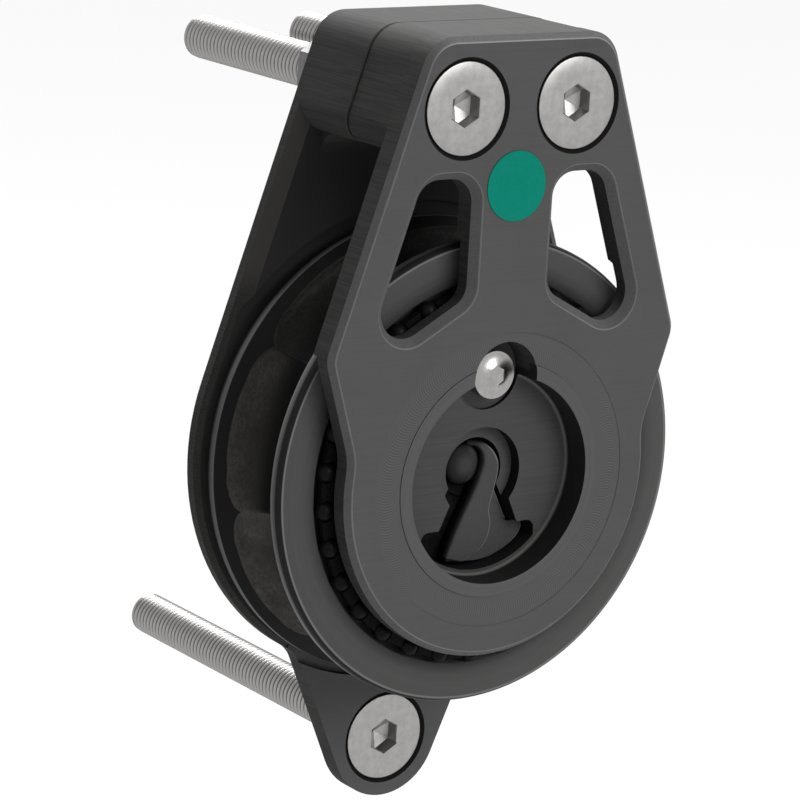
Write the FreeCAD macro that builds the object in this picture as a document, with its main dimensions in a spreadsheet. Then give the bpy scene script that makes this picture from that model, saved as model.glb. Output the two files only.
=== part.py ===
import FreeCAD, Part
import math
import os
import re
import Sketcher
from FreeCAD import Placement, Rotation, Vector

# Ratchet foot block. The sheave turns about Y, the front cheek faces -Y, Z is up.
# The origin lies on the sheave axis in the flat rear face that bolts to the boat.
# A depth below is a distance in front of that rear face, so it lies at Y = -depth.

os.makedirs("parts", exist_ok=True)
doc = FreeCAD.newDocument("RatchetFootBlock")

# Driving dimensions, in millimetres, degrees or counts
DRIVING = {
    # The block as a whole
    "block_depth": 44,
    "running_gap": 0.05,
    "seat_gap": 0.3,
    # Cheek outline
    "head_height": 96.5,
    "head_half_width": 23.4,
    "head_corner_radius": 8,
    "disc_radius": 52.8,
    "shoulder_height": 29.9,
    "shoulder_radius": 6,
    "front_disc_radius": 39.5,
    "waist_height": 7.5,
    "waist_radius": 14,
    "edge_chamfer": 1.4,
    "rear_bevel": 2.65,
    "edge_break": 0.25,
    # Cheek thicknesses
    "plate_thickness": 5,
    "lip_thickness": 6.5,
    "relief_radius": 54.5,
    # The two half blocks between the cheeks
    "head_block_foot": 71.3,
    "head_block_inset": 0.5,
    "head_block_corner": 5,
    "head_block_blend": 5,
    # Windows of the front cheek
    "window_inner_edge": 10.6,
    "window_top": 66.4,
    "window_side_wall": 9.6,
    "window_heel_height": 40.7,
    "window_heel_slope": 28.8,
    "window_top_radius": 5.4,
    "window_toe_radius": 6,
    "window_heel_radius": 5,
    "window_bevel": 1.9,
    # Machined ring round the hub
    "ring_face_radius": 32.6,
    "ring_face_depth": 0.15,
    # Foot ear of the rear cheek
    "ear_screw_drop": 69.7,
    "ear_radius": 13.9,
    "ear_side_lean": 23,
    "ear_root_blend": 7,
    # Mounting screws, nuts and dowels
    "bolt_half_spacing": 14.4,
    "bolt_height": 81.4,
    "bolt_radius": 5,
    "bolt_neck_radius": 4.8,
    "bolt_neck_run": 0.6,
    "bolt_hole_radius": 5.3,
    "bolt_length": 106,
    "bolt_head_radius": 10,
    "bolt_head_land": 0.5,
    "bolt_head_sink": 0.3,
    "bolt_tip_chamfer": 1.2,
    "countersink_radius": 10.9,
    "bolt_socket_width": 6.9,
    "bolt_socket_depth": 3.6,
    "nut_width": 17,
    "nut_thickness": 8,
    "nut_chamfer": 1.3,
    "dowel_radius": 2.5,
    "dowel_length": 14,
    "lower_dowel_drop": 4.4,
    "upper_dowel_rise": 8.6,
    # Hub cap that clamps the front cheek
    "cap_rim_radius": 26,
    "cap_rim_depth": 2.5,
    "cap_neck_radius": 24.5,
    "recess_radius": 23,
    "recess_depth": 7,
    "recess_blend": 0.9,
    "key_depth": 3,
    "key_radius": 10.2,
    "cap_depth": 13,
    # Fan-shaped window for the selector lever
    "shaft_hole_radius": 7.3,
    "neck_half_width": 7.9,
    "neck_drop": 6.6,
    "lobe_root_half_width": 10.4,
    "lobe_drop": 12,
    "fan_radius": 21.7,
    "fan_half_angle": 44,
    "lobe_radius": 2,
    # Lock screw between cap and drum
    "lock_screw_height": 22.4,
    "lock_pocket_radius": 8.2,
    "lock_pocket_depth": 8,
    "lock_shank_radius": 3,
    "lock_shank_length": 8,
    "lock_head_radius": 5.25,
    "lock_head_height": 6.3,
    "lock_head_edge": 3.6,
    "lock_socket_width": 4,
    "lock_socket_depth": 2,
    # Hub drum
    "drum_radius": 28,
    "drum_flange_radius": 30.5,
    "drum_flange_width": 4.5,
    "drum_seat_depth": 1.5,
    "cover_thickness": 3.9,
    "hub_screw_circle": 18,
    "hub_screw_count": 4,
    "hub_screw_radius": 2.5,
    "hub_screw_head_radius": 4.8,
    "hub_screw_length": 12,
    "hub_screw_socket": 3,
    "hub_screw_socket_depth": 1.9,
    # Sheave
    "sheave_rim_radius": 51.8,
    "flange_setback": 7.5,
    "flange_step_radius": 49.4,
    "flange_step": 0.6,
    "rim_round": 1.8,
    "rim_inner_half_width": 10.7,
    "tread_blank_half_width": 6.5,
    "tread_blank_radius": 47,
    "facet_count": 8,
    "facet_tool_height": 50,
    "facet_tool_radius": 9.5,
    "facet_turn": 33.5,
    "sheave_bore_radius": 35,
    # Ball rings between the sheave and the cheeks
    "ball_radius": 2.2,
    "ball_circle_radius": 40.55,
    "ball_count": 30,
    "ball_setback": 7.4,
    "race_radius": 43.05,
    "race_depth": 2.4,
    "ball_cage_inner_radius": 36.8,
    "ball_cage_outer_radius": 41.6,
    "ball_cage_width": 1.8,
    # Rollers between the sheave and the drum
    "race_ring_bore_radius": 32.4,
    "roller_radius": 1.9,
    "roller_circle_radius": 30.2,
    "roller_count": 20,
    "roller_length": 5.8,
    "roller_cage_thickness": 1.4,
    "roller_cage_border": 0.5,
    # Ratchet ring
    "tooth_count": 24,
    "tooth_tip_radius": 30,
    "tooth_root_radius": 32.6,
    "tooth_face_turn": 23,
    "ratchet_width": 10,
    # Pawls
    "pawl_pivot_radius": 21.5,
    "pawl_pin_radius": 2,
    "pawl_pin_bury": 2.5,
    "pawl_length": 13,
    "pawl_rest_turn": 70.5,
    "pawl_eye_radius": 3.4,
    "pawl_nose_width": 1.8,
    "pawl_tail_length": 8,
    "pawl_tail_width": 3,
    "pawl_side_gap": 0.3,
    "pawl_pocket_reach": 4.3,
    "pawl_pocket_drop": 15.5,
    "spring_thickness": 0.5,
    "spring_bury": 1.5,
    "spring_lean": 3.4,
    # Selector lever, its cam and its detent
    "shaft_radius": 6.9,
    "lever_thickness": 2.8,
    "lever_top_height": 4.6,
    "lever_top_offset": 2.4,
    "lever_toe_turn": 19,
    "lever_heel_turn": 42.5,
    "lever_radius": 21.1,
    "grip_height": 0.8,
    "grip_toe_turn": 16,
    "shaft_dish_depth": 3.4,
    "cam_disc_radius": 9,
    "cam_arm_reach": 14,
    "cam_arm_width": 4,
    "cam_tail_gap": 0.3,
    "cam_side_gap": 0.6,
    "cam_chamber_radius": 16,
    "cam_spigot_radius": 4,
    "cam_spigot_length": 4,
    "detent_radius": 2,
    "detent_length": 8,
    "detent_ball_radius": 1.1,
    "detent_ball_show": 0.5,
    "detent_offset": 6.6,
    "detent_dimple_radius": 1.4,
    "selector_swing": 22,
    # Colour mark on the front cheek
    "sticker_radius": 7.6,
    "sticker_height": 64.4,
    "sticker_offset": -0.5,
    "sticker_thickness": 0.15,
}

sizes = doc.addObject("Spreadsheet::Sheet", "Sizes")
for row, (name, number) in enumerate(DRIVING.items(), start=1):
    sizes.set("A%d" % row, name)
    sizes.set("B%d" % row, str(number))
    sizes.setAlias("B%d" % row, name)
doc.recompute()


# Helpers that bind a sketch or feature to the sheet

def formula(text):
    """Point every size named in the text at its cell."""
    words = re.compile(r"[a-z][a-z_0-9]*")
    return words.sub(lambda found: "Sizes." + found[0] if found[0] in DRIVING else found[0], str(text))


def worth(text):
    """Read what a formula comes to with the sheet as it stands."""
    result = sizes.evalExpression(str(text))
    return float(getattr(result, "Value", result))


def bind(item, property_name, text):
    item.setExpression(property_name, formula(text))


def new_body(label):
    body = doc.addObject("PartDesign::Body", label)
    body.Label = label
    doc.recompute()
    return body


def origin_part(body, role):
    return next(part for part in body.Origin.OriginFeatures if part.Role == role)


def new_sketch(body, name, plane="XZ_Plane", depth="0"):
    """Start a sketch. On XZ_Plane it looks back at the block and lies at Y = -depth."""
    sketch = body.newObject("Sketcher::SketchObject", name)
    sketch.AttachmentSupport = [(origin_part(body, plane), "")]
    sketch.MapMode = "FlatFace"
    bind(sketch, "AttachmentOffset.Base.z", depth)
    return sketch


def hold_point(sketch, curve, end, across, up):
    """Hold one end or centre of a curve by its two distances from the origin."""
    for kind, text in (("DistanceX", across), ("DistanceY", up)):
        index = sketch.addConstraint(Sketcher.Constraint(kind, -1, 1, curve, end, worth(text)))
        bind(sketch, "Constraints[%d]" % index, text)


def circle(sketch, across, up, radius):
    centre = Vector(worth(across), worth(up), 0)
    curve = sketch.addGeometry(Part.Circle(centre, Vector(0, 0, 1), worth(radius)), False)
    hold_point(sketch, curve, 3, across, up)
    index = sketch.addConstraint(Sketcher.Constraint("Radius", curve, worth(radius)))
    bind(sketch, "Constraints[%d]" % index, radius)


def outline(sketch, corners):
    """Draw a closed outline. A corner is (across, up), or (across, up, radius) where an arc
    leaves it: the arc bulges to the right of the way walked, or to the left if turned."""
    count = len(corners)
    points = [Vector(worth(corner[0]), worth(corner[1]), 0) for corner in corners]
    ends = []
    for place, corner in enumerate(corners):
        start = points[place]
        stop = points[(place + 1) % count]
        if len(corner) == 2:
            curve = sketch.addGeometry(Part.LineSegment(start, stop), False)
            ends.append((curve, 1, 2))
            continue
        radius = worth(corner[2])
        bulges_left = len(corner) == 4
        chord = stop - start
        height = math.sqrt(max(radius ** 2 - (chord.Length / 2) ** 2, 0))
        side = Vector(-chord.y, chord.x, 0).normalize() * (-1 if bulges_left else 1)
        centre = (start + stop) * 0.5 + side * height
        first, last = (stop, start) if bulges_left else (start, stop)
        turn_first = math.atan2(first.y - centre.y, first.x - centre.x)
        turn_last = math.atan2(last.y - centre.y, last.x - centre.x)
        ring = Part.Circle(centre, Vector(0, 0, 1), radius)
        curve = sketch.addGeometry(Part.ArcOfCircle(ring, turn_first, turn_last), False)
        ends.append((curve, 2, 1) if bulges_left else (curve, 1, 2))
        index = sketch.addConstraint(Sketcher.Constraint("Radius", curve, radius))
        bind(sketch, "Constraints[%d]" % index, corner[2])
    for place, (curve, start_end, stop_end) in enumerate(ends):
        after = ends[(place + 1) % count]
        sketch.addConstraint(Sketcher.Constraint("Coincident", curve, stop_end, after[0], after[1]))
        hold_point(sketch, curve, start_end, corners[place][0], corners[place][1])


def settle(feature):
    """Recompute, and stop at once where a feature could not be made."""
    doc.recompute()
    if "Invalid" in feature.State or "Error" in feature.State:
        raise RuntimeError("%s: %s" % (feature.Name, feature.getStatusString()))
    return feature


def pad(body, sketch, length):
    feature = body.newObject("PartDesign::Pad", sketch.Name + "Pad")
    feature.Profile = sketch
    bind(feature, "Length", length)
    return settle(feature)


def pocket(body, sketch, length, forward=False, both_ways=False):
    feature = body.newObject("PartDesign::Pocket", sketch.Name + "Pocket")
    feature.Profile = sketch
    bind(feature, "Length", length)
    feature.Reversed = forward
    if both_ways:
        feature.SideType = "Symmetric"
    return settle(feature)


def spin(body, sketch, kind="PartDesign::Revolution", angle="360", axis="H_Axis"):
    feature = body.newObject(kind, sketch.Name + "Spin")
    feature.Profile = sketch
    feature.ReferenceAxis = (sketch, [axis])
    bind(feature, "Angle", angle)
    return settle(feature)


def ring_of(body, feature, count):
    """Repeat a feature evenly round the sheave axis."""
    pattern = body.newObject("PartDesign::PolarPattern", feature.Name + "Ring")
    pattern.Originals = [feature]
    pattern.Axis = (origin_part(body, "Y_Axis"), [""])
    pattern.Angle = 360
    bind(pattern, "Occurrences", count)
    body.Tip = pattern
    return settle(pattern)


def edge_names(body, test):
    return ["Edge%d" % number for number, edge in enumerate(body.Shape.Edges, start=1) if test(edge)]


def soften(body, kind, size, test):
    """Round or chamfer the edges that pass the test."""
    names = edge_names(body, test)
    if not names:
        raise RuntimeError("no edge to soften on " + body.Label)
    base = body.Tip
    feature = body.newObject("PartDesign::" + kind, body.Label + kind)
    feature.Base = (base, names)
    bind(feature, "Radius" if kind == "Fillet" else "Size", size)
    return settle(feature)


def middle(edge):
    return edge.valueAt((edge.FirstParameter + edge.LastParameter) / 2)


def runs_deep(edge, across, up, slack=0.6):
    """True for an edge along Y that passes the given place, worked out from the sizes."""
    low, high = edge.BoundBox.YMin, edge.BoundBox.YMax
    spot = middle(edge)
    straight = edge.BoundBox.XLength < 0.01 and edge.BoundBox.ZLength < 0.01
    return straight and high - low > 0.5 and math.hypot(spot.x - worth(across), spot.z - worth(up)) < slack


def lies_at(edge, depth):
    box = edge.BoundBox
    return box.YLength < 0.001 and abs(box.YMin + worth(depth)) < 0.001


def reach(edge):
    """How far the middle of an edge is from the sheave axis."""
    spot = middle(edge)
    return math.hypot(spot.x, spot.z)


# Lines that several pieces share

HEAD_DISTANCE = "sqrt(head_half_width^2 + head_height^2)"
SIDE_TURN = "(atan2(head_half_width; head_height) + acos(disc_radius / %s))" % HEAD_DISTANCE
SIDE_FOOT_X = "disc_radius * sin(%s)" % SIDE_TURN
SIDE_FOOT_Z = "disc_radius * cos(%s)" % SIDE_TURN
SIDE_SLOPE = "((%s - head_half_width) / (head_height - %s))" % (SIDE_FOOT_X, SIDE_FOOT_Z)


def side_x(height, inset="0"):
    """Half width of the cheek at a height, or of a line that runs inside its edge."""
    return "(head_half_width + %s * (head_height - (%s)) - (%s) * sqrt(1 + %s^2))" % (
        SIDE_SLOPE, height, inset, SIDE_SLOPE)


MIDDLE_DEPTH = "(block_depth / 2)"
INNER_FRONT = "(block_depth - plate_thickness)"
DOWEL_HEIGHTS = ("(bolt_height - lower_dowel_drop)", "(bolt_height + upper_dowel_rise)")
BOLTS = (("-bolt_half_spacing", "bolt_height"), ("bolt_half_spacing", "bolt_height"))
FOOT_BOLT = ("0", "-ear_screw_drop")


def screw_hole(body, label, place, face_depth, mouth_radius, hole_radius, length):
    """Drill a countersunk hole straight back from a face."""
    bore = new_sketch(body, label + "Bore", depth=face_depth)
    circle(bore, place[0], place[1], hole_radius)
    pocket(body, bore, length)
    soften(body, "Chamfer", "%s - %s" % (mouth_radius, hole_radius), lambda edge: (
        lies_at(edge, face_depth) and edge.Closed
        and abs(edge.Length - 2 * math.pi * worth(hole_radius)) < 0.01
        and math.hypot(edge.Curve.Center.x - worth(place[0]), edge.Curve.Center.z - worth(place[1])) < 0.01))


def head_corner(inset="0"):
    """The two ends of the arc that rounds a top corner, for the right hand side."""
    lean = "atan(%s)" % SIDE_SLOPE
    run = "head_corner_radius * tan((90deg - %s) / 2)" % lean
    edge = "(head_half_width - (%s))" % inset
    return (("(%s - %s)" % (edge, run), "head_height"),
            ("(%s + %s * sin(%s))" % (edge, run, lean), "(head_height - %s * cos(%s))" % (run, lean)))


def mirrored(point):
    return ("-" + point[0], point[1])


def half_block(body, depth, inset):
    """Add the solid half of the head, which meets the other half in the middle plane."""
    sketch = new_sketch(body, body.Label + "HalfBlock", depth=depth)
    top, side = head_corner(inset)
    lean = "atan(%s)" % SIDE_SLOPE
    run = "head_block_corner * tan((90deg + %s) / 2)" % lean
    foot_x = side_x("head_block_foot", inset)
    foot_side = ("(%s - %s * sin(%s))" % (foot_x, run, lean),
                 "(head_block_foot + %s * cos(%s))" % (run, lean))
    foot = ("(%s - %s)" % (foot_x, run), "head_block_foot")
    outline(sketch, [
        top,
        mirrored(top) + ("head_corner_radius",),
        mirrored(side),
        mirrored(foot_side) + ("head_block_corner",),
        mirrored(foot),
        foot + ("head_block_corner",),
        foot_side,
        side + ("head_corner_radius",)])
    pad(body, sketch, MIDDLE_DEPTH)
    soften(body, "Chamfer", "edge_break", lambda edge: lies_at(edge, MIDDLE_DEPTH))


def blend_head(body, inner_depth, way):
    """Blend the underside of the half block into the plate with a hollow arc."""
    sketch = new_sketch(body, body.Label + "Blend", "YZ_Plane")
    face = "-(%s)" % inner_depth
    away = "%s + %d * head_block_blend" % (face, way)
    low = "head_block_foot - head_block_blend"
    arc = ("head_block_blend", "left") if way > 0 else ("head_block_blend",)
    if way > 0:
        outline(sketch, [(face, "head_block_foot + 1"), (face, low) + arc, (away, "head_block_foot"),
                         (away, "head_block_foot + 1")])
    else:
        outline(sketch, [(face, "head_block_foot + 1"), (away, "head_block_foot + 1"),
                         (away, "head_block_foot", "head_block_blend", "left"), (face, low)])
    foot_x = side_x("head_block_foot", "head_block_inset")
    feature = body.newObject("PartDesign::Pad", sketch.Name + "Pad")
    feature.Profile = sketch
    feature.SideType = "Symmetric"
    bind(feature, "Length", "2 * (%s - head_block_corner * 1.2)" % foot_x)
    settle(feature)


# Front cheek, one milled plate with half of the head

def make_front_cheek():
    body = new_body("front_cheek")
    plate = new_sketch(body, "FrontPlate", depth="block_depth - lip_thickness")
    waist_x = "sqrt(front_disc_radius^2 - waist_height^2)"
    top, side = head_corner()
    outline(plate, [
        top,
        mirrored(top) + ("head_corner_radius",),
        mirrored(side),
        ("-%s" % side_x("shoulder_height"), "shoulder_height"),
        ("-" + waist_x, "waist_height", "front_disc_radius"),
        ("0", "-front_disc_radius", "front_disc_radius"),
        (waist_x, "waist_height"),
        (side_x("shoulder_height"), "shoulder_height"),
        side + ("head_corner_radius",)])
    pad(body, plate, "lip_thickness")
    for sign in ("-", ""):
        soften(body, "Fillet", "shoulder_radius", lambda edge: (
            runs_deep(edge, sign + side_x("shoulder_height"), "shoulder_height")))
        soften(body, "Fillet", "waist_radius", lambda edge: (
            runs_deep(edge, sign + waist_x, "waist_height")))
    cut_windows(body)
    relief = new_sketch(body, "FrontRelief", depth="block_depth - lip_thickness")
    circle(relief, "0", "0", "relief_radius")
    pocket(body, relief, "lip_thickness - plate_thickness", forward=True)
    half_block(body, MIDDLE_DEPTH, "head_block_inset")
    blend_head(body, "block_depth - lip_thickness", 1)
    soften(body, "Chamfer", "edge_chamfer", lambda edge: (
        lies_at(edge, "block_depth") and reach(edge) > worth("front_disc_radius") - 0.01
        and not in_window(edge)))
    bore_front_cheek(body)
    return body


HEEL_FALL = "tan(window_heel_slope * 1deg)"
HEEL_SIDE = side_x("window_heel_height", "window_side_wall")
TOE_X = "((%s - window_inner_edge * %s * %s) / (1 - %s * %s))" % (
    HEEL_SIDE, SIDE_SLOPE, HEEL_FALL, SIDE_SLOPE, HEEL_FALL)
TOE_Z = "(window_heel_height - (%s - window_inner_edge) * %s)" % (TOE_X, HEEL_FALL)


def in_window(edge):
    """True for an edge of the front face that belongs to a window or its bevel."""
    spot = middle(edge)
    margin = worth("window_side_wall") / 2
    inside = worth("window_inner_edge") - margin < abs(spot.x) < worth(side_x(spot.z)) - margin
    return inside and worth(TOE_Z) - margin < spot.z < worth("window_top") + margin


def cut_windows(body):
    """Cut the two windows and bevel them on the front."""
    for name, sign in (("LeftWindow", "-"), ("RightWindow", "")):
        corners = [
            (sign + "window_inner_edge", "window_top"),
            (sign + "window_inner_edge", "window_heel_height"),
            (sign + TOE_X, TOE_Z),
            (sign + side_x("window_top", "window_side_wall"), "window_top")]
        window = new_sketch(body, name, depth="block_depth")
        outline(window, corners if sign else corners[::-1])
        pocket(body, window, "lip_thickness")
        radii = ("window_top_radius", "window_heel_radius", "window_toe_radius", "window_top_radius")
        for corner, radius in zip(corners, radii):
            soften(body, "Fillet", radius, lambda edge: runs_deep(edge, corner[0], corner[1]))
        soften(body, "Chamfer", "window_bevel", lambda edge: (
            lies_at(edge, "block_depth") and in_window(edge)
            and (middle(edge).x < 0) == bool(sign)))


def bore_front_cheek(body):
    """Cut the stepped hub bore, the machined ring, the lock pocket and the screw holes."""
    ring_face = new_sketch(body, "RingFace", depth="block_depth")
    circle(ring_face, "0", "0", "ring_face_radius")
    pocket(body, ring_face, "ring_face_depth")
    rim_seat = new_sketch(body, "CapRimSeat", depth="block_depth")
    circle(rim_seat, "0", "0", "cap_rim_radius + running_gap")
    pocket(body, rim_seat, "cap_rim_depth")
    neck_bore = new_sketch(body, "CapNeckBore", depth="block_depth")
    circle(neck_bore, "0", "0", "cap_neck_radius + running_gap")
    pocket(body, neck_bore, "lip_thickness")
    cut_lock_pocket(body, "CheekLockPocket")
    for number, place in enumerate(BOLTS):
        screw_hole(body, "FrontBolt%d" % number, place, "block_depth",
                   "countersink_radius", "bolt_hole_radius", MIDDLE_DEPTH)
    drill_dowels(body, "FrontDowel", forward=True)


def cut_lock_pocket(body, name):
    sketch = new_sketch(body, name, depth="block_depth")
    circle(sketch, "0", "lock_screw_height", "lock_pocket_radius")
    pocket(body, sketch, "lock_pocket_depth")


def drill_dowels(body, name, forward):
    """Blind holes for the two dowels, drilled from the plane where the halves meet."""
    sketch = new_sketch(body, name, depth=MIDDLE_DEPTH)
    for height in DOWEL_HEIGHTS:
        circle(sketch, "0", height, "dowel_radius + running_gap")
    pocket(body, sketch, "dowel_length / 2 + seat_gap", forward=forward)


# Rear cheek, with the other half of the head and the foot ear

def make_rear_cheek():
    body = new_body("rear_cheek")
    plate = new_sketch(body, "RearPlate", depth="0")
    top, side = head_corner()
    outline(plate, [
        top,
        mirrored(top) + ("head_corner_radius",),
        mirrored(side),
        ("-" + SIDE_FOOT_X, SIDE_FOOT_Z, "disc_radius"),
        ("0", "-disc_radius", "disc_radius"),
        (SIDE_FOOT_X, SIDE_FOOT_Z),
        side + ("head_corner_radius",)])
    pad(body, plate, "lip_thickness")
    soften(body, "Chamfer", "rear_bevel", lambda edge: lies_at(edge, "lip_thickness"))
    add_ear(body)
    relief = new_sketch(body, "RearRelief", depth="lip_thickness")
    circle(relief, "0", "0", "relief_radius")
    pocket(body, relief, "lip_thickness - plate_thickness")
    half_block(body, "0", "0")
    blend_head(body, "lip_thickness", -1)
    soften(body, "Chamfer", "edge_chamfer", lambda edge: lies_at(edge, "0"))
    drum_seat = new_sketch(body, "DrumSeat", depth="plate_thickness")
    circle(drum_seat, "0", "0", "drum_flange_radius + running_gap")
    pocket(body, drum_seat, "drum_seat_depth")
    for number, place in enumerate(BOLTS):
        bore = new_sketch(body, "RearBolt%d" % number, depth=MIDDLE_DEPTH)
        circle(bore, place[0], place[1], "bolt_hole_radius")
        pocket(body, bore, MIDDLE_DEPTH)
    screw_hole(body, "FootBolt", FOOT_BOLT, "lip_thickness",
               "countersink_radius", "bolt_hole_radius", "lip_thickness")
    drill_dowels(body, "RearDowel", forward=False)
    drill_hub_screws(body)
    return body


def add_ear(body):
    """Add the foot ear, whose straight sides run into the disc through hollow arcs."""
    face = "(ear_radius + ear_screw_drop * sin(ear_side_lean * 1deg))"
    run = "sqrt((disc_radius + ear_root_blend)^2 - (%s + ear_root_blend)^2)" % face

    def beside(outward, down, share="1"):
        """A point so far outside and so far down along the leaning side of the ear."""
        return ("((%s) * cos(ear_side_lean * 1deg) - (%s) * sin(ear_side_lean * 1deg)) * (%s)" % (
                    outward, down, share),
                "(-(%s) * sin(ear_side_lean * 1deg) - (%s) * cos(ear_side_lean * 1deg)) * (%s)" % (
                    outward, down, share))

    disc_share = "disc_radius / (disc_radius + ear_root_blend)"
    on_disc = beside(face + " + ear_root_blend", run, disc_share)
    inside = beside(face + " + ear_root_blend", run, disc_share + " * 0.9")
    on_side = beside(face, run)
    on_ear = beside(face, "ear_screw_drop * cos(ear_side_lean * 1deg)")
    ear = new_sketch(body, "FootEar", depth="0")
    outline(ear, [
        inside,
        mirrored(inside),
        mirrored(on_disc) + ("ear_root_blend", "left"),
        mirrored(on_side),
        mirrored(on_ear) + ("ear_radius",),
        ("0", "-ear_screw_drop - ear_radius", "ear_radius"),
        on_ear,
        on_side + ("ear_root_blend", "left"),
        on_disc])
    pad(body, ear, "lip_thickness")


def hub_screw_places():
    """Places of the countersunk screws that hold the drum to the rear cheek."""
    for number in range(int(worth("hub_screw_count"))):
        turn = "(%d * 360deg / hub_screw_count + 45deg)" % number
        yield ("hub_screw_circle * cos(%s)" % turn, "hub_screw_circle * sin(%s)" % turn)


def drill_hub_screws(body):
    through = new_sketch(body, "HubScrewHoles", depth="plate_thickness")
    for place in hub_screw_places():
        circle(through, place[0], place[1], "hub_screw_radius + running_gap")
    pocket(body, through, "plate_thickness")
    soften(body, "Chamfer", "hub_screw_head_radius - hub_screw_radius", lambda edge: (
        lies_at(edge, "0") and edge.Closed
        and abs(edge.Length - 2 * math.pi * worth("hub_screw_radius + running_gap")) < 0.01))


# Hub: cap, cover plate and drum

CAP_REAR = "(block_depth - cap_depth)"
COVER_REAR = "(%s - cover_thickness)" % CAP_REAR
RATCHET_FRONT = "(block_depth / 2 + ratchet_width / 2)"
RATCHET_REAR = "(block_depth / 2 - ratchet_width / 2)"


def make_hub_cap():
    body = new_body("hub_cap")
    profile = new_sketch(body, "CapProfile", "YZ_Plane")
    outline(profile, [
        ("-block_depth", "0"),
        ("-%s" % CAP_REAR, "0"),
        ("-%s" % CAP_REAR, "cap_neck_radius"),
        ("-block_depth + cap_rim_depth", "cap_neck_radius"),
        ("-block_depth + cap_rim_depth", "cap_rim_radius"),
        ("-block_depth", "cap_rim_radius")])
    spin(body, profile)
    recess = new_sketch(body, "Recess", depth="block_depth")
    circle(recess, "0", "0", "recess_radius")
    pocket(body, recess, "recess_depth")
    soften(body, "Fillet", "recess_blend", lambda edge: (
        lies_at(edge, "block_depth - recess_depth") and abs(reach(edge) - worth("recess_radius")) < 0.01))
    key = new_sketch(body, "KeyRound", depth="block_depth - recess_depth")
    circle(key, "0", "0", "key_radius")
    pocket(body, key, "key_depth")
    cut_fan_window(body)
    shaft_hole = new_sketch(body, "ShaftHole", depth="block_depth - recess_depth")
    circle(shaft_hole, "0", "0", "shaft_hole_radius")
    pocket(body, shaft_hole, "cap_depth - recess_depth")
    cut_lock_pocket(body, "CapLockPocket")
    drill_lock_shank(body, "CapLockShank")
    return body


def cut_fan_window(body):
    """Cut the fan-shaped opening in which the selector lever swings."""
    fan = new_sketch(body, "FanWindow", depth="block_depth - recess_depth")
    end_x = "fan_radius * sin(fan_half_angle * 1deg)"
    end_z = "-fan_radius * cos(fan_half_angle * 1deg)"
    outline(fan, [
        ("neck_half_width", "-neck_drop"),
        ("shaft_hole_radius * 0.85", "-shaft_hole_radius * 0.45"),
        ("-shaft_hole_radius * 0.85", "-shaft_hole_radius * 0.45"),
        ("-neck_half_width", "-neck_drop"),
        ("-lobe_root_half_width", "-lobe_drop"),
        ("-" + end_x, "-lobe_drop"),
        ("-" + end_x, end_z, "fan_radius"),
        (end_x, end_z),
        (end_x, "-lobe_drop"),
        ("lobe_root_half_width", "-lobe_drop")])
    pocket(body, fan, "cap_depth - recess_depth")
    for sign in ("-", ""):
        soften(body, "Fillet", "lobe_radius", lambda edge: runs_deep(edge, sign + end_x, "-lobe_drop"))


def drill_lock_shank(body, name):
    sketch = new_sketch(body, name, depth="block_depth - lock_pocket_depth")
    circle(sketch, "0", "lock_screw_height", "lock_shank_radius + running_gap")
    pocket(body, sketch, "lock_shank_length + seat_gap")


def make_cover_plate():
    """The disc that closes the pawl chamber and carries the front ends of the pawl pins."""
    body = new_body("cover_plate")
    disc = new_sketch(body, "CoverDisc", depth=COVER_REAR)
    circle(disc, "0", "0", "cap_neck_radius")
    pad(body, disc, "cover_thickness")
    holes = new_sketch(body, "CoverHoles", depth=CAP_REAR)
    circle(holes, "0", "0", "shaft_radius + running_gap")
    for sign in ("-", ""):
        circle(holes, sign + "pawl_pivot_radius", "0", "pawl_pin_radius + running_gap")
    pocket(body, holes, "cover_thickness")
    drill_lock_shank(body, "CoverLockShank")
    return body


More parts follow.
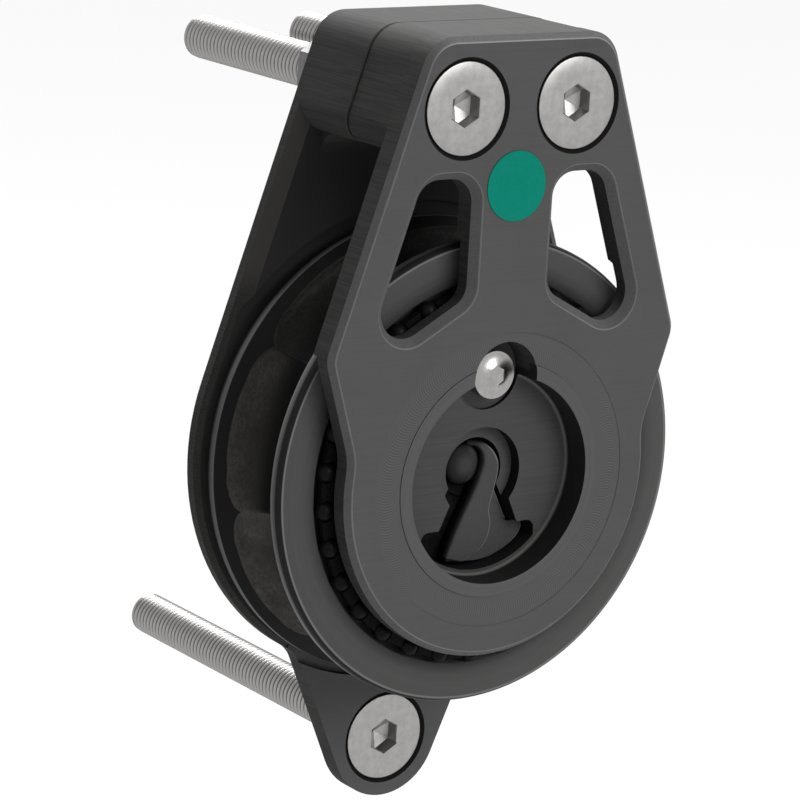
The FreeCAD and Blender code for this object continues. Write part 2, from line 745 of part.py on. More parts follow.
def make_hub_drum():
    body = new_body("hub_drum")
    seat = "(plate_thickness - drum_seat_depth)"
    profile = new_sketch(body, "DrumProfile", "YZ_Plane")
    outline(profile, [
        ("-%s" % COVER_REAR, "0"),
        ("-%s" % seat, "0"),
        ("-%s" % seat, "drum_flange_radius"),
        ("-plate_thickness - drum_flange_width", "drum_flange_radius"),
        ("-plate_thickness - drum_flange_width", "drum_radius"),
        ("-block_depth + plate_thickness + drum_flange_width", "drum_radius"),
        ("-block_depth + plate_thickness + drum_flange_width", "drum_flange_radius"),
        ("-%s" % INNER_FRONT, "drum_flange_radius"),
        ("-%s" % INNER_FRONT, "cap_neck_radius + running_gap"),
        ("-%s" % COVER_REAR, "cap_neck_radius + running_gap")])
    spin(body, profile)
    chamber = new_sketch(body, "CamChamber", depth=COVER_REAR)
    circle(chamber, "0", "0", "cam_chamber_radius")
    pocket(body, chamber, "%s - %s" % (COVER_REAR, RATCHET_REAR))
    for name, sign in (("RightPawlPocket", 1), ("LeftPawlPocket", -1)):
        place = new_sketch(body, name, depth=COVER_REAR)
        near, far = "cam_chamber_radius * 0.8", "drum_flange_radius + running_gap"
        corners = [
            ("%d * (%s)" % (sign, near), "%d * pawl_pocket_reach" % sign),
            ("%d * (%s)" % (sign, near), "-%d * pawl_pocket_drop" % sign),
            ("%d * (%s)" % (sign, far), "-%d * pawl_pocket_drop" % sign),
            ("%d * (%s)" % (sign, far), "%d * pawl_pocket_reach" % sign)]
        outline(place, corners)
        pocket(body, place, "%s - %s" % (COVER_REAR, RATCHET_REAR))
    floor_holes = new_sketch(body, "PinHoles", depth=RATCHET_REAR)
    for sign in ("-", ""):
        circle(floor_holes, sign + "pawl_pivot_radius", "0", "pawl_pin_radius + running_gap")
    pocket(body, floor_holes, "pawl_pin_bury + seat_gap")
    spigot_hole = new_sketch(body, "SpigotHole", depth=RATCHET_REAR)
    circle(spigot_hole, "0", "0", "cam_spigot_radius + running_gap")
    pocket(body, spigot_hole, "cam_spigot_length + seat_gap")
    detent_hole = new_sketch(body, "DetentHole", depth=RATCHET_REAR)
    circle(detent_hole, "0", "-detent_offset", "detent_radius + running_gap")
    pocket(body, detent_hole, "detent_length + seat_gap")
    screw_holes = new_sketch(body, "DrumScrewHoles", depth=seat)
    for place in hub_screw_places():
        circle(screw_holes, place[0], place[1], "hub_screw_radius + running_gap")
    pocket(body, screw_holes, "hub_screw_length - %s + seat_gap" % seat, forward=True)
    slots = new_sketch(body, "SpringSlots", depth=COVER_REAR)
    for sign in (1, -1):
        outline(slots, spring_slot(sign))
    pocket(body, slots, "%s - %s" % (COVER_REAR, RATCHET_REAR))
    cut_lock_pocket(body, "DrumLockPocket")
    drill_lock_shank(body, "DrumLockShank")
    return body


# Pawl springs, flat leaves whose feet are pressed into the drum

SPRING_FOOT_X = "(cam_chamber_radius * 0.8 + 5.2)"


def placed(sign, corners):
    """The same outline for the right side, or turned half round for the left."""
    return [("%d * (%s)" % (sign, across), "%d * (%s)" % (sign, up)) for across, up in corners]


def spring_slot(sign):
    """The slot in the drum that holds the foot of a leaf."""
    half = "(spring_thickness / 2 + running_gap)"
    low = "-pawl_pocket_drop - spring_bury - running_gap"
    high = "-pawl_pocket_drop + 1"
    return placed(sign, [
        ("%s - %s" % (SPRING_FOOT_X, half), low),
        ("%s + %s" % (SPRING_FOOT_X, half), low),
        ("%s + %s" % (SPRING_FOOT_X, half), high),
        ("%s - %s" % (SPRING_FOOT_X, half), high)])


def make_pawl_spring(number, sign):
    body = new_body("pawl_spring_%d" % number)
    leaf = new_sketch(body, "Leaf%d" % number, depth="%s + pawl_side_gap" % RATCHET_REAR)
    half = "spring_thickness / 2"
    low = "-pawl_pocket_drop - spring_bury"
    high = "-pawl_length * 0.62"
    outline(leaf, placed(sign, [
        ("%s - %s" % (SPRING_FOOT_X, half), low),
        ("%s + %s" % (SPRING_FOOT_X, half), low),
        ("%s + %s" % (SPRING_FOOT_X, half), "-pawl_pocket_drop"),
        ("%s + %s + spring_lean" % (SPRING_FOOT_X, half), high),
        ("%s - %s + spring_lean" % (SPRING_FOOT_X, half), high),
        ("%s - %s" % (SPRING_FOOT_X, half), "-pawl_pocket_drop")]))
    pad(body, leaf, "ratchet_width - 3 * pawl_side_gap")
    return body


# Pawls, bell cranks with a nose for the teeth and a tail for the cam

def make_pawl(number, sign):
    body = new_body("pawl_%d" % number)
    depth = "%s + pawl_side_gap" % RATCHET_REAR
    width = "ratchet_width - 3 * pawl_side_gap"
    reach_x = "cos(pawl_rest_turn * 1deg)"
    reach_z = "-sin(pawl_rest_turn * 1deg)"

    def along(distance, outward):
        """A point so far along the nose and so far out from its middle line."""
        return ("(%s) * %s + (%s) * sin(pawl_rest_turn * 1deg)" % (distance, reach_x, outward),
                "(%s) * %s + (%s) * %s" % (distance, reach_z, outward, reach_x))

    nose = new_sketch(body, "Nose%d" % number, depth=depth)
    outline(nose, [
        along("0", "-pawl_eye_radius"),
        along("pawl_length", "-pawl_nose_width"),
        along("pawl_length", "0"),
        along("pawl_length * 0.85", "pawl_nose_width * 0.45"),
        along("0", "pawl_eye_radius")])
    pad(body, nose, width)
    eye = new_sketch(body, "Eye%d" % number, depth=depth)
    circle(eye, "0", "0", "pawl_eye_radius")
    pad(body, eye, width)
    tail = new_sketch(body, "Tail%d" % number, depth=depth)
    outline(tail, [
        ("0", "-pawl_tail_width / 2"),
        ("0", "pawl_tail_width / 2"),
        ("-pawl_tail_length", "pawl_tail_width / 2"),
        ("-pawl_tail_length", "-pawl_tail_width / 2")])
    pad(body, tail, width)
    pin_hole = new_sketch(body, "PawlHole%d" % number, depth="%s + %s" % (depth, width))
    circle(pin_hole, "0", "0", "pawl_pin_radius + running_gap")
    pocket(body, pin_hole, width)
    bind(body, "Placement.Base.x", "%d * pawl_pivot_radius" % sign)
    bind(body, "Placement.Rotation.Angle", "0" if sign > 0 else "180")
    bind(body, "Placement.Rotation.Axis.y", "1")
    bind(body, "Placement.Rotation.Axis.z", "0")
    doc.recompute()
    return body


def rod(label, across, up, near_depth, far_depth, radius):
    """A plain round bar along Y between two depths."""
    bar = doc.addObject("Part::Cylinder", label)
    bar.Label = label
    bind(bar, "Radius", radius)
    bind(bar, "Height", "(%s) - (%s)" % (near_depth, far_depth))
    bar.Placement = Placement(Vector(0, 0, 0), Rotation(Vector(1, 0, 0), 90))
    bind(bar, "Placement.Base.x", across)
    bind(bar, "Placement.Base.y", "-(%s)" % far_depth)
    bind(bar, "Placement.Base.z", up)
    return bar


# Selector lever with its shaft, and the cam that works the pawls

def make_selector_lever():
    body = new_body("selector_lever")
    face = "(block_depth - recess_depth - key_depth)"
    toe_x = "-lever_radius * sin(lever_toe_turn * 1deg)"
    toe_z = "-lever_radius * cos(lever_toe_turn * 1deg)"
    heel_x = "lever_radius * sin(lever_heel_turn * 1deg)"
    heel_z = "-lever_radius * cos(lever_heel_turn * 1deg)"
    plate = new_sketch(body, "LeverPlate", depth="%s - lever_thickness" % face)
    outline(plate, [
        ("lever_top_offset", "lever_top_height"),
        (toe_x, toe_z, "lever_radius"),
        (heel_x, heel_z),
        ("%s - seat_gap" % heel_x, "-lobe_drop - seat_gap * 2"),
        ("lobe_root_half_width - seat_gap", "-lobe_drop - seat_gap * 2"),
        ("neck_half_width - seat_gap * 2", "-neck_drop - seat_gap * 2"),
        ("shaft_radius * 0.8", "-shaft_radius * 0.55"),
        ("shaft_radius * 0.8", "shaft_radius * 0.4")])
    pad(body, plate, "lever_thickness")
    shaft = new_sketch(body, "SelectorShaft", depth=COVER_REAR)
    circle(shaft, "0", "0", "shaft_radius")
    pad(body, shaft, "%s - %s" % (face, COVER_REAR))
    dish = new_sketch(body, "ShaftDish", depth=face)
    outline(dish, [
        ("lever_top_offset", "lever_top_height"),
        ("lever_top_offset * 0.2", "shaft_radius * 0.9"),
        ("-shaft_radius * 0.6", "shaft_radius * 0.68"),
        ("-shaft_radius * 0.9", "0"),
        ("-shaft_radius * 0.6", "-shaft_radius * 0.68"),
        ("(%s) * 0.3" % toe_x, "(%s) * 0.3" % toe_z)])
    pocket(body, dish, "shaft_dish_depth")
    grip = new_sketch(body, "LeverGrip", depth=face)
    grip_x = "lever_radius * sin(grip_toe_turn * 1deg)"
    grip_z = "-lever_radius * cos(grip_toe_turn * 1deg)"
    outline(grip, [
        ("lever_top_offset", "lever_top_height"),
        (toe_x, toe_z, "lever_radius"),
        ("0", "-lever_radius"),
        ("(%s) * 0.85" % grip_x, "(%s) * 0.96" % grip_z),
        ("(%s) * 1.15" % grip_x, "(%s) * 0.82" % grip_z),
        ("neck_half_width - seat_gap * 2", "-neck_drop - seat_gap * 2"),
        ("shaft_radius * 0.8", "-shaft_radius * 0.55"),
        ("shaft_radius * 0.8", "shaft_radius * 0.2")])
    pad(body, grip, "grip_height")
    spigot = new_sketch(body, "CamSpigot", depth="%s - cam_spigot_length" % RATCHET_REAR)
    circle(spigot, "0", "0", "cam_spigot_radius")
    pad(body, spigot, "%s - %s + cam_spigot_length" % (COVER_REAR, RATCHET_REAR))
    return body


def make_selector_cam():
    body = new_body("selector_cam")
    rear = "(%s + cam_side_gap)" % RATCHET_REAR
    width = "(%s - seat_gap - %s)" % (COVER_REAR, rear)
    disc = new_sketch(body, "CamDisc", depth=rear)
    circle(disc, "0", "0", "cam_disc_radius")
    pad(body, disc, width)
    near = "(pawl_tail_width / 2 + cam_tail_gap)"
    for sign in (1, -1):
        arm = new_sketch(body, "CamArm" + ("Right" if sign > 0 else "Left"), depth=rear)
        outline(arm, [
            ("0", "-%d * %s" % (sign, near)),
            ("0", "-%d * (%s + cam_arm_width)" % (sign, near)),
            ("%d * cam_arm_reach" % sign, "-%d * (%s + cam_arm_width)" % (sign, near)),
            ("%d * cam_arm_reach" % sign, "-%d * %s" % (sign, near))])
        pad(body, arm, width)
    hole = new_sketch(body, "CamHole", depth="%s + %s" % (rear, width))
    circle(hole, "0", "0", "cam_spigot_radius + running_gap")
    pocket(body, hole, width)
    dimples = new_sketch(body, "DetentDimples", depth=rear)
    circle(dimples, "0", "-detent_offset", "detent_dimple_radius")
    pocket(body, dimples, "detent_ball_radius", forward=True)
    second = new_sketch(body, "SecondDimple", depth=rear)
    circle(second, "detent_offset * sin(selector_swing * 1deg)",
           "-detent_offset * cos(selector_swing * 1deg)", "detent_dimple_radius")
    pocket(body, second, "detent_ball_radius", forward=True)
    return body


def make_detent_plunger():
    """A threaded spring plunger with its ball drawn pressed in, just clear of the cam."""
    body = new_body("detent_plunger")
    barrel = new_sketch(body, "PlungerProfile", "YZ_Plane")
    front = "-%s" % RATCHET_REAR
    outline(barrel, [
        ("%s + detent_length" % front, "0"),
        ("%s + detent_length" % front, "detent_radius"),
        (front, "detent_radius"),
        (front, "sqrt(detent_ball_radius^2 - (detent_ball_radius - detent_ball_show)^2)",
         "detent_ball_radius", "left"),
        ("%s - detent_ball_show" % front, "0")])
    spin(body, barrel)
    bind(body, "Placement.Base.z", "-detent_offset")
    doc.recompute()
    return body


# Sheave with its faceted groove, and the rings pressed into it

def make_sheave():
    body = new_body("sheave")
    middle_y = "-block_depth / 2"
    half = "(block_depth / 2 - flange_setback)"
    inner = "(%s - race_depth)" % half

    def right(offset, radius, *arc):
        return ("%s + %s" % (middle_y, offset), radius) + arc

    def left(offset, radius, *arc):
        return ("%s - %s" % (middle_y, offset), radius) + arc

    step = "(%s - flange_step)" % half
    rim = "(%s - rim_round)" % step
    profile = new_sketch(body, "SheaveProfile", "YZ_Plane")
    outline(profile, [
        left(inner, "sheave_bore_radius"),
        right(inner, "sheave_bore_radius"),
        right(inner, "race_radius"),
        right(half, "race_radius"),
        right(half, "flange_step_radius"),
        right(step, "flange_step_radius"),
        right(step, "sheave_rim_radius - rim_round", "rim_round"),
        right(rim, "sheave_rim_radius"),
        right("rim_inner_half_width", "sheave_rim_radius"),
        right("tread_blank_half_width", "tread_blank_radius"),
        left("tread_blank_half_width", "tread_blank_radius"),
        left("rim_inner_half_width", "sheave_rim_radius"),
        left(rim, "sheave_rim_radius", "rim_round"),
        left(step, "sheave_rim_radius - rim_round"),
        left(step, "flange_step_radius"),
        left(half, "flange_step_radius"),
        left(half, "race_radius"),
        left(inner, "race_radius")])
    spin(body, profile)
    for number in range(int(worth("facet_count"))):
        facet = new_sketch(body, "Facet%d" % number, "YZ_Plane")
        circle(facet, middle_y, "facet_tool_height", "facet_tool_radius")
        bind(facet, "AttachmentOffset.Rotation.Angle", "facet_turn + %d * 360 / facet_count" % number)
        bind(facet, "AttachmentOffset.Rotation.Axis.x", "1")
        bind(facet, "AttachmentOffset.Rotation.Axis.z", "0")
        pocket(body, facet, "sheave_rim_radius * 2", both_ways=True)
    return body


SHEAVE_INNER = "(block_depth / 2 - flange_setback - race_depth)"


def tube(label, outer_radius, bore_radius, front_depth, rear_depth):
    """A plain ring about the sheave axis between two depths."""
    body = new_body(label)
    ring = new_sketch(body, label + "Ring", depth=rear_depth)
    circle(ring, "0", "0", outer_radius)
    circle(ring, "0", "0", bore_radius)
    pad(body, ring, "(%s) - (%s)" % (front_depth, rear_depth))
    return body


def make_ratchet_ring():
    """The ring of inward teeth. Each tooth has a face along the radius and a long ramp."""
    body = tube("ratchet_ring", "sheave_bore_radius - running_gap", "tooth_tip_radius",
                RATCHET_FRONT, RATCHET_REAR)
    gap = new_sketch(body, "ToothGap", depth=RATCHET_FRONT)
    start = "(-tooth_face_turn * 1deg)"
    stop = "(%s + 360deg / tooth_count)" % start
    inside = "tooth_tip_radius * 0.97"
    corners = [
        ("%s * cos(%s)" % (inside, start), "%s * sin(%s)" % (inside, start)),
        ("tooth_root_radius * cos(%s)" % start, "tooth_root_radius * sin(%s)" % start),
        ("tooth_tip_radius * cos(%s)" % stop, "tooth_tip_radius * sin(%s)" % stop),
        ("%s * cos(%s)" % (inside, stop), "%s * sin(%s)" % (inside, stop))]
    outline(gap, corners)
    cut = pocket(body, gap, "ratchet_width")
    ring_of(body, cut, "tooth_count")
    return body


# Balls, rollers and their cages

def ring_group(label, kind, count, circle_radius, dress, turn="0"):
    """Place like balls or rollers evenly round the axis as one group of separate solids."""
    members = []
    for number in range(int(worth(count))):
        angle = "(%d * 360deg / %s + (%s) * 1deg)" % (number, count, turn)
        member = doc.addObject(kind, "%s_%d" % (label, number))
        dress(member)
        bind(member, "Placement.Base.x", "%s * sin(%s)" % (circle_radius, angle))
        bind(member, "Placement.Base.z", "%s * cos(%s)" % (circle_radius, angle))
        members.append(member)
    group = doc.addObject("Part::Compound", label)
    group.Label = label
    group.Links = members
    return group


def make_balls(label, depth):
    def dress(ball):
        bind(ball, "Radius", "ball_radius")
        bind(ball, "Placement.Base.y", "-(%s)" % depth)

    return ring_group(label, "Part::Sphere", "ball_count", "ball_circle_radius", dress)


def make_rollers(label, rear_depth):
    def dress(roller):
        bind(roller, "Radius", "roller_radius")
        bind(roller, "Height", "roller_length")
        roller.Placement = Placement(Vector(0, 0, 0), Rotation(Vector(1, 0, 0), 90))
        bind(roller, "Placement.Base.y", "-(%s)" % rear_depth)

    return ring_group(label, "Part::Cylinder", "roller_count", "roller_circle_radius", dress)


def make_ball_cage(label, rear_depth):
    """A comb ring whose round notches hold the balls apart."""
    body = tube(label, "ball_cage_outer_radius", "ball_cage_inner_radius",
                "%s + ball_cage_width" % rear_depth, rear_depth)
    notch = new_sketch(body, label + "Notch", depth="%s + ball_cage_width" % rear_depth)
    circle(notch, "0", "ball_circle_radius", "ball_radius + running_gap * 3")
    cut = pocket(body, notch, "ball_cage_width")
    ring_of(body, cut, "ball_count")
    return body


def make_roller_cage(label, rear_depth):
    """A thin sleeve with a slot for each roller."""
    length = "(roller_length + 2 * roller_cage_border + 4 * running_gap)"
    body = tube(label, "roller_circle_radius + roller_cage_thickness / 2",
                "roller_circle_radius - roller_cage_thickness / 2",
                "%s + %s" % (rear_depth, length), rear_depth)
    slot = new_sketch(body, label + "Slot", "XY_Plane", depth="roller_circle_radius - roller_cage_thickness")
    half = "(roller_radius + 2 * running_gap)"
    near = "-(%s) - roller_cage_border" % rear_depth
    far = "-(%s) - %s + roller_cage_border" % (rear_depth, length)
    outline(slot, [("-" + half, far), (half, far), (half, near), ("-" + half, near)])
    cut = pocket(body, slot, "2 * roller_cage_thickness", forward=True)
    ring_of(body, cut, "roller_count")
    return body


# Fasteners

def socket_sketch(body, name, depth, across, up, width):
    """A six-sided socket, point up, of the given width across flats."""
    sketch = new_sketch(body, name, depth=depth)
    corner = "(%s) / 2 / cos(30)" % width
    corners = []
    for number in range(6):
        turn = "%ddeg" % (90 + number * 60)
        corners.append(("(%s) + %s * cos(%s)" % (across, corner, turn),
                        "(%s) + %s * sin(%s)" % (up, corner, turn)))
    outline(sketch, corners)
    return sketch


def make_countersunk_screw(label, place, face_depth, sizes_of, front=True, waist=None):
    """A countersunk socket screw along Y. Its thread is left plain.

    A waist is the thinner part of the shank in the block, its radius and where it ends in Y.
    """
    head, shank, land, length, socket, socket_depth, chamfer = sizes_of
    way = "-1" if front else "1"
    body = new_body(label)
    profile = new_sketch(body, label + "Profile", "YZ_Plane")
    top = "(%s)" % face_depth
    neck, neck_end = waist or (shank, None)
    corners = [
        (top, "0"),
        ("%s - (%s) * (%s)" % (top, way, length), "0"),
        ("%s - (%s) * (%s)" % (top, way, length), "%s - %s" % (shank, chamfer)),
        ("%s - (%s) * (%s - %s)" % (top, way, length, chamfer), shank)]
    if waist:
        corners += [(neck_end, shank), (neck_end, neck)]
    corners += [
        ("%s - (%s) * (%s + %s - %s)" % (top, way, land, head, neck), neck),
        ("%s - (%s) * %s" % (top, way, land), head),
        (top, head)]
    outline(profile, corners)
    spin(body, profile)
    bore = socket_sketch(body, label + "Socket", "-(%s)" % face_depth, "0", "0", socket)
    pocket(body, bore, socket_depth, forward=not front)
    bind(body, "Placement.Base.x", place[0])
    bind(body, "Placement.Base.z", place[1])
    doc.recompute()
    return body


BOLT_SIZES = ("bolt_head_radius", "bolt_radius", "bolt_head_land", "bolt_length",
              "bolt_socket_width", "bolt_socket_depth", "bolt_tip_chamfer")
HUB_SCREW_SIZES = ("hub_screw_head_radius - 2 * running_gap", "hub_screw_radius", "running_gap * 2",
                   "hub_screw_length", "hub_screw_socket", "hub_screw_socket_depth", "hub_screw_radius / 5")


def make_nut(label, place):
    body = new_body(label)
    profile = new_sketch(body, label + "Blank", "YZ_Plane")
    corner = "(nut_width / 2 / cos(30))"
    outline(profile, [
        ("0", "bolt_neck_radius + running_gap"),
        ("nut_thickness", "bolt_neck_radius + running_gap"),
        ("nut_thickness", "%s - nut_chamfer" % corner),
        ("nut_thickness - nut_chamfer * tan(30)", corner),
        ("0", corner)])
    spin(body, profile)
    trim = socket_sketch(body, label + "Flats", "0", "0", "0", "nut_width")
    circle(trim, "0", "0", "nut_width")
    pocket(body, trim, "nut_thickness")
    bind(body, "Placement.Base.x", place[0])
    bind(body, "Placement.Base.z", place[1])
    doc.recompute()
    return body


def make_lock_screw():
    """A button-head screw whose head and shank lie across the joint of cap and drum."""
    body = new_body("lock_screw")
    seat = "(-block_depth + lock_pocket_depth)"
    dome = "((lock_head_radius^2 + (lock_head_height - lock_head_edge)^2) / 2 / (lock_head_height - lock_head_edge))"
    profile = new_sketch(body, "LockScrewProfile", "YZ_Plane")
    outline(profile, [
        ("%s + lock_shank_length" % seat, "0"),
        ("%s + lock_shank_length" % seat, "lock_shank_radius"),
        (seat, "lock_shank_radius"),
        (seat, "lock_head_radius"),
        ("%s - lock_head_edge" % seat, "lock_head_radius", dome, "left"),
        ("%s - lock_head_height" % seat, "0")])
    spin(body, profile)
    bore = socket_sketch(body, "LockSocket", "block_depth - lock_pocket_depth + lock_head_height",
                         "0", "0", "lock_socket_width")
    pocket(body, bore, "lock_socket_depth")
    bind(body, "Placement.Base.z", "lock_screw_height")
    doc.recompute()
    return body


# Build every piece

make_front_cheek()
make_rear_cheek()
make_hub_cap()
make_cover_plate()
make_hub_drum()
make_lock_screw()
make_selector_lever()
make_selector_cam()
make_detent_plunger()
make_sheave()
tube("race_ring_front", "sheave_bore_radius - running_gap", "race_ring_bore_radius",
     "block_depth / 2 + %s" % SHEAVE_INNER, "%s + running_gap" % RATCHET_FRONT)
tube("race_ring_rear", "sheave_bore_radius - running_gap", "race_ring_bore_radius",
     "%s - running_gap" % RATCHET_REAR, "block_depth / 2 - %s" % SHEAVE_INNER)
make_ratchet_ring()

FRONT_BALL_DEPTH = "block_depth - ball_setback"
make_balls("front_balls", FRONT_BALL_DEPTH)
make_balls("rear_balls", "ball_setback")
make_ball_cage("front_ball_cage", "(%s - ball_cage_width / 2)" % FRONT_BALL_DEPTH)
make_ball_cage("rear_ball_cage", "(ball_setback - ball_cage_width / 2)")

REAR_ROW = "(plate_thickness + drum_flange_width + seat_gap + roller_cage_border + 2 * running_gap)"
FRONT_ROW = "(block_depth - %s - roller_length)" % REAR_ROW
CAGE_STEP = "(roller_cage_border + 2 * running_gap)"
make_rollers("front_rollers", FRONT_ROW)
make_rollers("rear_rollers", REAR_ROW)
make_roller_cage("front_roller_cage", "(%s - %s)" % (FRONT_ROW, CAGE_STEP))
make_roller_cage("rear_roller_cage", "(%s - %s)" % (REAR_ROW, CAGE_STEP))

for number, sign in ((1, 1), (2, -1)):
    make_pawl(number, sign)
    make_pawl_spring(number, sign)
    rod("pawl_pin_%d" % number, "%d * pawl_pivot_radius" % sign, "0",
        "%s - running_gap" % CAP_REAR, "%s - pawl_pin_bury" % RATCHET_REAR, "pawl_pin_radius")

HEAD_FACE = "-block_depth + bolt_head_sink"
FOOT_FACE = "-lip_thickness + bolt_head_sink"
NECK = ("bolt_neck_radius", "(nut_thickness + bolt_neck_run)")
for label, place, face in (("mounting_screw_left", BOLTS[0], HEAD_FACE),
                           ("mounting_screw_right", BOLTS[1], HEAD_FACE),
                           ("mounting_screw_foot", FOOT_BOLT, FOOT_FACE)):
    make_countersunk_screw(label, place, face, BOLT_SIZES, waist=NECK)
for label, place in (("retaining_nut_left", BOLTS[0]), ("retaining_nut_right", BOLTS[1]),
                     ("retaining_nut_foot", FOOT_BOLT)):
    make_nut(label, place)
for number, place in enumerate(hub_screw_places(), start=1):
    make_countersunk_screw("hub_screw_%d" % number, place, "0", HUB_SCREW_SIZES, front=False)
for label, height in zip(("dowel_pin_lower", "dowel_pin_upper"), DOWEL_HEIGHTS):
    rod(label, "0", height, "(block_depth + dowel_length) / 2", "(block_depth - dowel_length) / 2",
        "dowel_radius")
rod("face_sticker", "sticker_offset", "sticker_height", "block_depth + sticker_thickness", "block_depth",
    "sticker_radius")


# Check every object, then write each piece to its own file

doc.recompute()
for item in doc.Objects:
    if "Invalid" in item.State or "Error" in item.State:
        raise RuntimeError("%s: %s" % (item.Label, item.State))

grouped = {member.Name for item in doc.Objects if item.TypeId == "Part::Compound" for member in item.Links}
pieces = [item for item in doc.Objects
          if item.TypeId in ("PartDesign::Body", "Part::Cylinder", "Part::Compound")
          and item.Name not in grouped]
for piece in pieces:
    shape = piece.Shape
    if shape.isNull() or not shape.isValid() or not shape.Solids:
        raise RuntimeError("bad shape: " + piece.Label)
for piece in pieces:
    piece.Shape.exportStep("parts/%s.step" % piece.Label)
    print(piece.Label, len(piece.Shape.Solids), "solid(s)", round(piece.Shape.Volume), "mm3")
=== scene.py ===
# %% [markdown]
# A ratchet foot block is a pulley for a rope that runs round a boat's deck. Two black
# anodised cheeks hold a grooved wheel, the sheave, and three long stainless screws pass
# through the cheeks and the deck. The working solids come from the CAD frame. This file
# gives them their finishes, and builds the sheave, the lever and the screws again with more
# of their form.

# %% Load the frame
import math

import bmesh
import bpy
from mathutils import Matrix, Vector


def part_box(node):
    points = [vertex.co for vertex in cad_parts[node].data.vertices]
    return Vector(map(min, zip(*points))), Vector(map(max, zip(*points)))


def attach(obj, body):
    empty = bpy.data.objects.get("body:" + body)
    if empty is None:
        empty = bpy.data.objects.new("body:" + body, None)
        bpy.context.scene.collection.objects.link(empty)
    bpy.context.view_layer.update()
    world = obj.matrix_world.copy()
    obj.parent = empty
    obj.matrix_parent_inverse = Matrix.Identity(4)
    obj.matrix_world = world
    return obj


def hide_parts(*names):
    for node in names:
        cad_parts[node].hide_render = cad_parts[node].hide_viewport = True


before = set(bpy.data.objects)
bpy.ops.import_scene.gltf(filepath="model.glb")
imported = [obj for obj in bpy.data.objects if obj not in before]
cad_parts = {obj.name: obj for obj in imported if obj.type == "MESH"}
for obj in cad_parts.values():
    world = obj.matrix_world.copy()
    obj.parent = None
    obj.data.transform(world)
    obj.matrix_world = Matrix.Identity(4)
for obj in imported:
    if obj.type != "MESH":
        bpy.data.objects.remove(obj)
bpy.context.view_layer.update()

# %% [markdown]
# What the CAD knows is read from the boxes of its nodes: the front face, the middle and the
# rim of the sheave, and the axes of the screws. Everything below counts in millimetres in
# the block's frame, whose origin lies on the sheave's axis in the mounting face.

# %% Places from the frame
MM = 0.001


def in_mm(length):
    """A length of the frame in millimetres, to the nearest micrometre."""
    return round(length / MM, 3)


def middle_of(node):
    """Across and up to the middle of a node's box, in millimetres."""
    low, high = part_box(node)
    return in_mm((low.x + high.x) / 2), in_mm((low.z + high.z) / 2)


sheave_low, sheave_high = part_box("sheave")
screw_low, screw_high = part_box("mounting_screw_foot")
FRONT_FACE = in_mm(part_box("front_cheek")[0].y)
GROOVE_MIDDLE = in_mm((sheave_low.y + sheave_high.y) / 2)
RIM_RADIUS = in_mm(sheave_high.z)
SCREW_PLACES = {side: middle_of("mounting_screw_" + side) for side in ("left", "right", "foot")}
SCREW_LENGTH = in_mm(screw_high.y - screw_low.y)
print("front face:", FRONT_FACE, "rim radius:", RIM_RADIUS, "screw length:", SCREW_LENGTH)

# %% [markdown]
# Every finish below is worked out from the place on the piece, so it needs no image and no
# unwrapping. Long chains of Math nodes are hard to read, so a small class wraps a socket
# and lets Python's own signs add the nodes. Anything that isn't a sum comes from one
# method, which sets the node's choices first and then its sockets.


# %% A socket that can be used in sums
class Wire:
    """A shader socket, or a tree to start from, that adds nodes as it is used."""

    def __init__(self, tree, socket=None):
        self.tree, self.socket = tree, socket

    def node(self, kind, settings=None, sockets=None, out=0):
        """Add a node: its settings come first, then values or wires for its sockets."""
        made = self.tree.nodes.new(kind)
        for name, value in (settings or {}).items():
            setattr(made, name, value)
        for name, value in (sockets or {}).items():
            if isinstance(value, Wire):
                self.tree.links.new(value.socket, made.inputs[name])
            else:
                made.inputs[name].default_value = value
        return Wire(self.tree, made.outputs[out] if made.outputs else None)

    def math(self, operation, *values):
        return self.node("ShaderNodeMath", {"operation": operation}, dict(enumerate(values)))

    def __add__(self, other):
        return self.math("ADD", self, other)

    def __sub__(self, other):
        return self.math("SUBTRACT", self, other)

    def __rsub__(self, other):
        return self.math("SUBTRACT", other, self)

    def __mul__(self, other):
        return self.math("MULTIPLY", self, other)

    def __truediv__(self, other):
        return self.math("DIVIDE", self, other)

    def __abs__(self):
        return self.math("ABSOLUTE", self)

    __radd__, __rmul__ = __add__, __mul__

    def rise(self, low, high):
        """0 below low, 1 above high, and a smooth step between."""
        return self.node("ShaderNodeMapRange", {"interpolation_type": "SMOOTHSTEP"},
                         {"Value": self, "From Min": low, "From Max": high})

    def within(self, low, high, blur):
        """1 between low and high, and 0 outside."""
        return self.rise(low - blur, low + blur) * (1 - self.rise(high - blur, high + blur))

    def root(self):
        return self.math("SQRT", self)

    def wave(self):
        """A wave from 0 to 1 that repeats once a turn of 1."""
        return self.math("COSINE", self * math.tau) * 0.5 + 0.5

    def into(self, shader, name):
        self.tree.links.new(self.socket, shader.inputs[name])


# %% [markdown]
# A finish starts from a Principled shader. It also needs to know where it is: the place in
# millimetres in the frame of the block, the distance from the sheave's axis, the angle
# round it, and how far the surface faces along that axis.


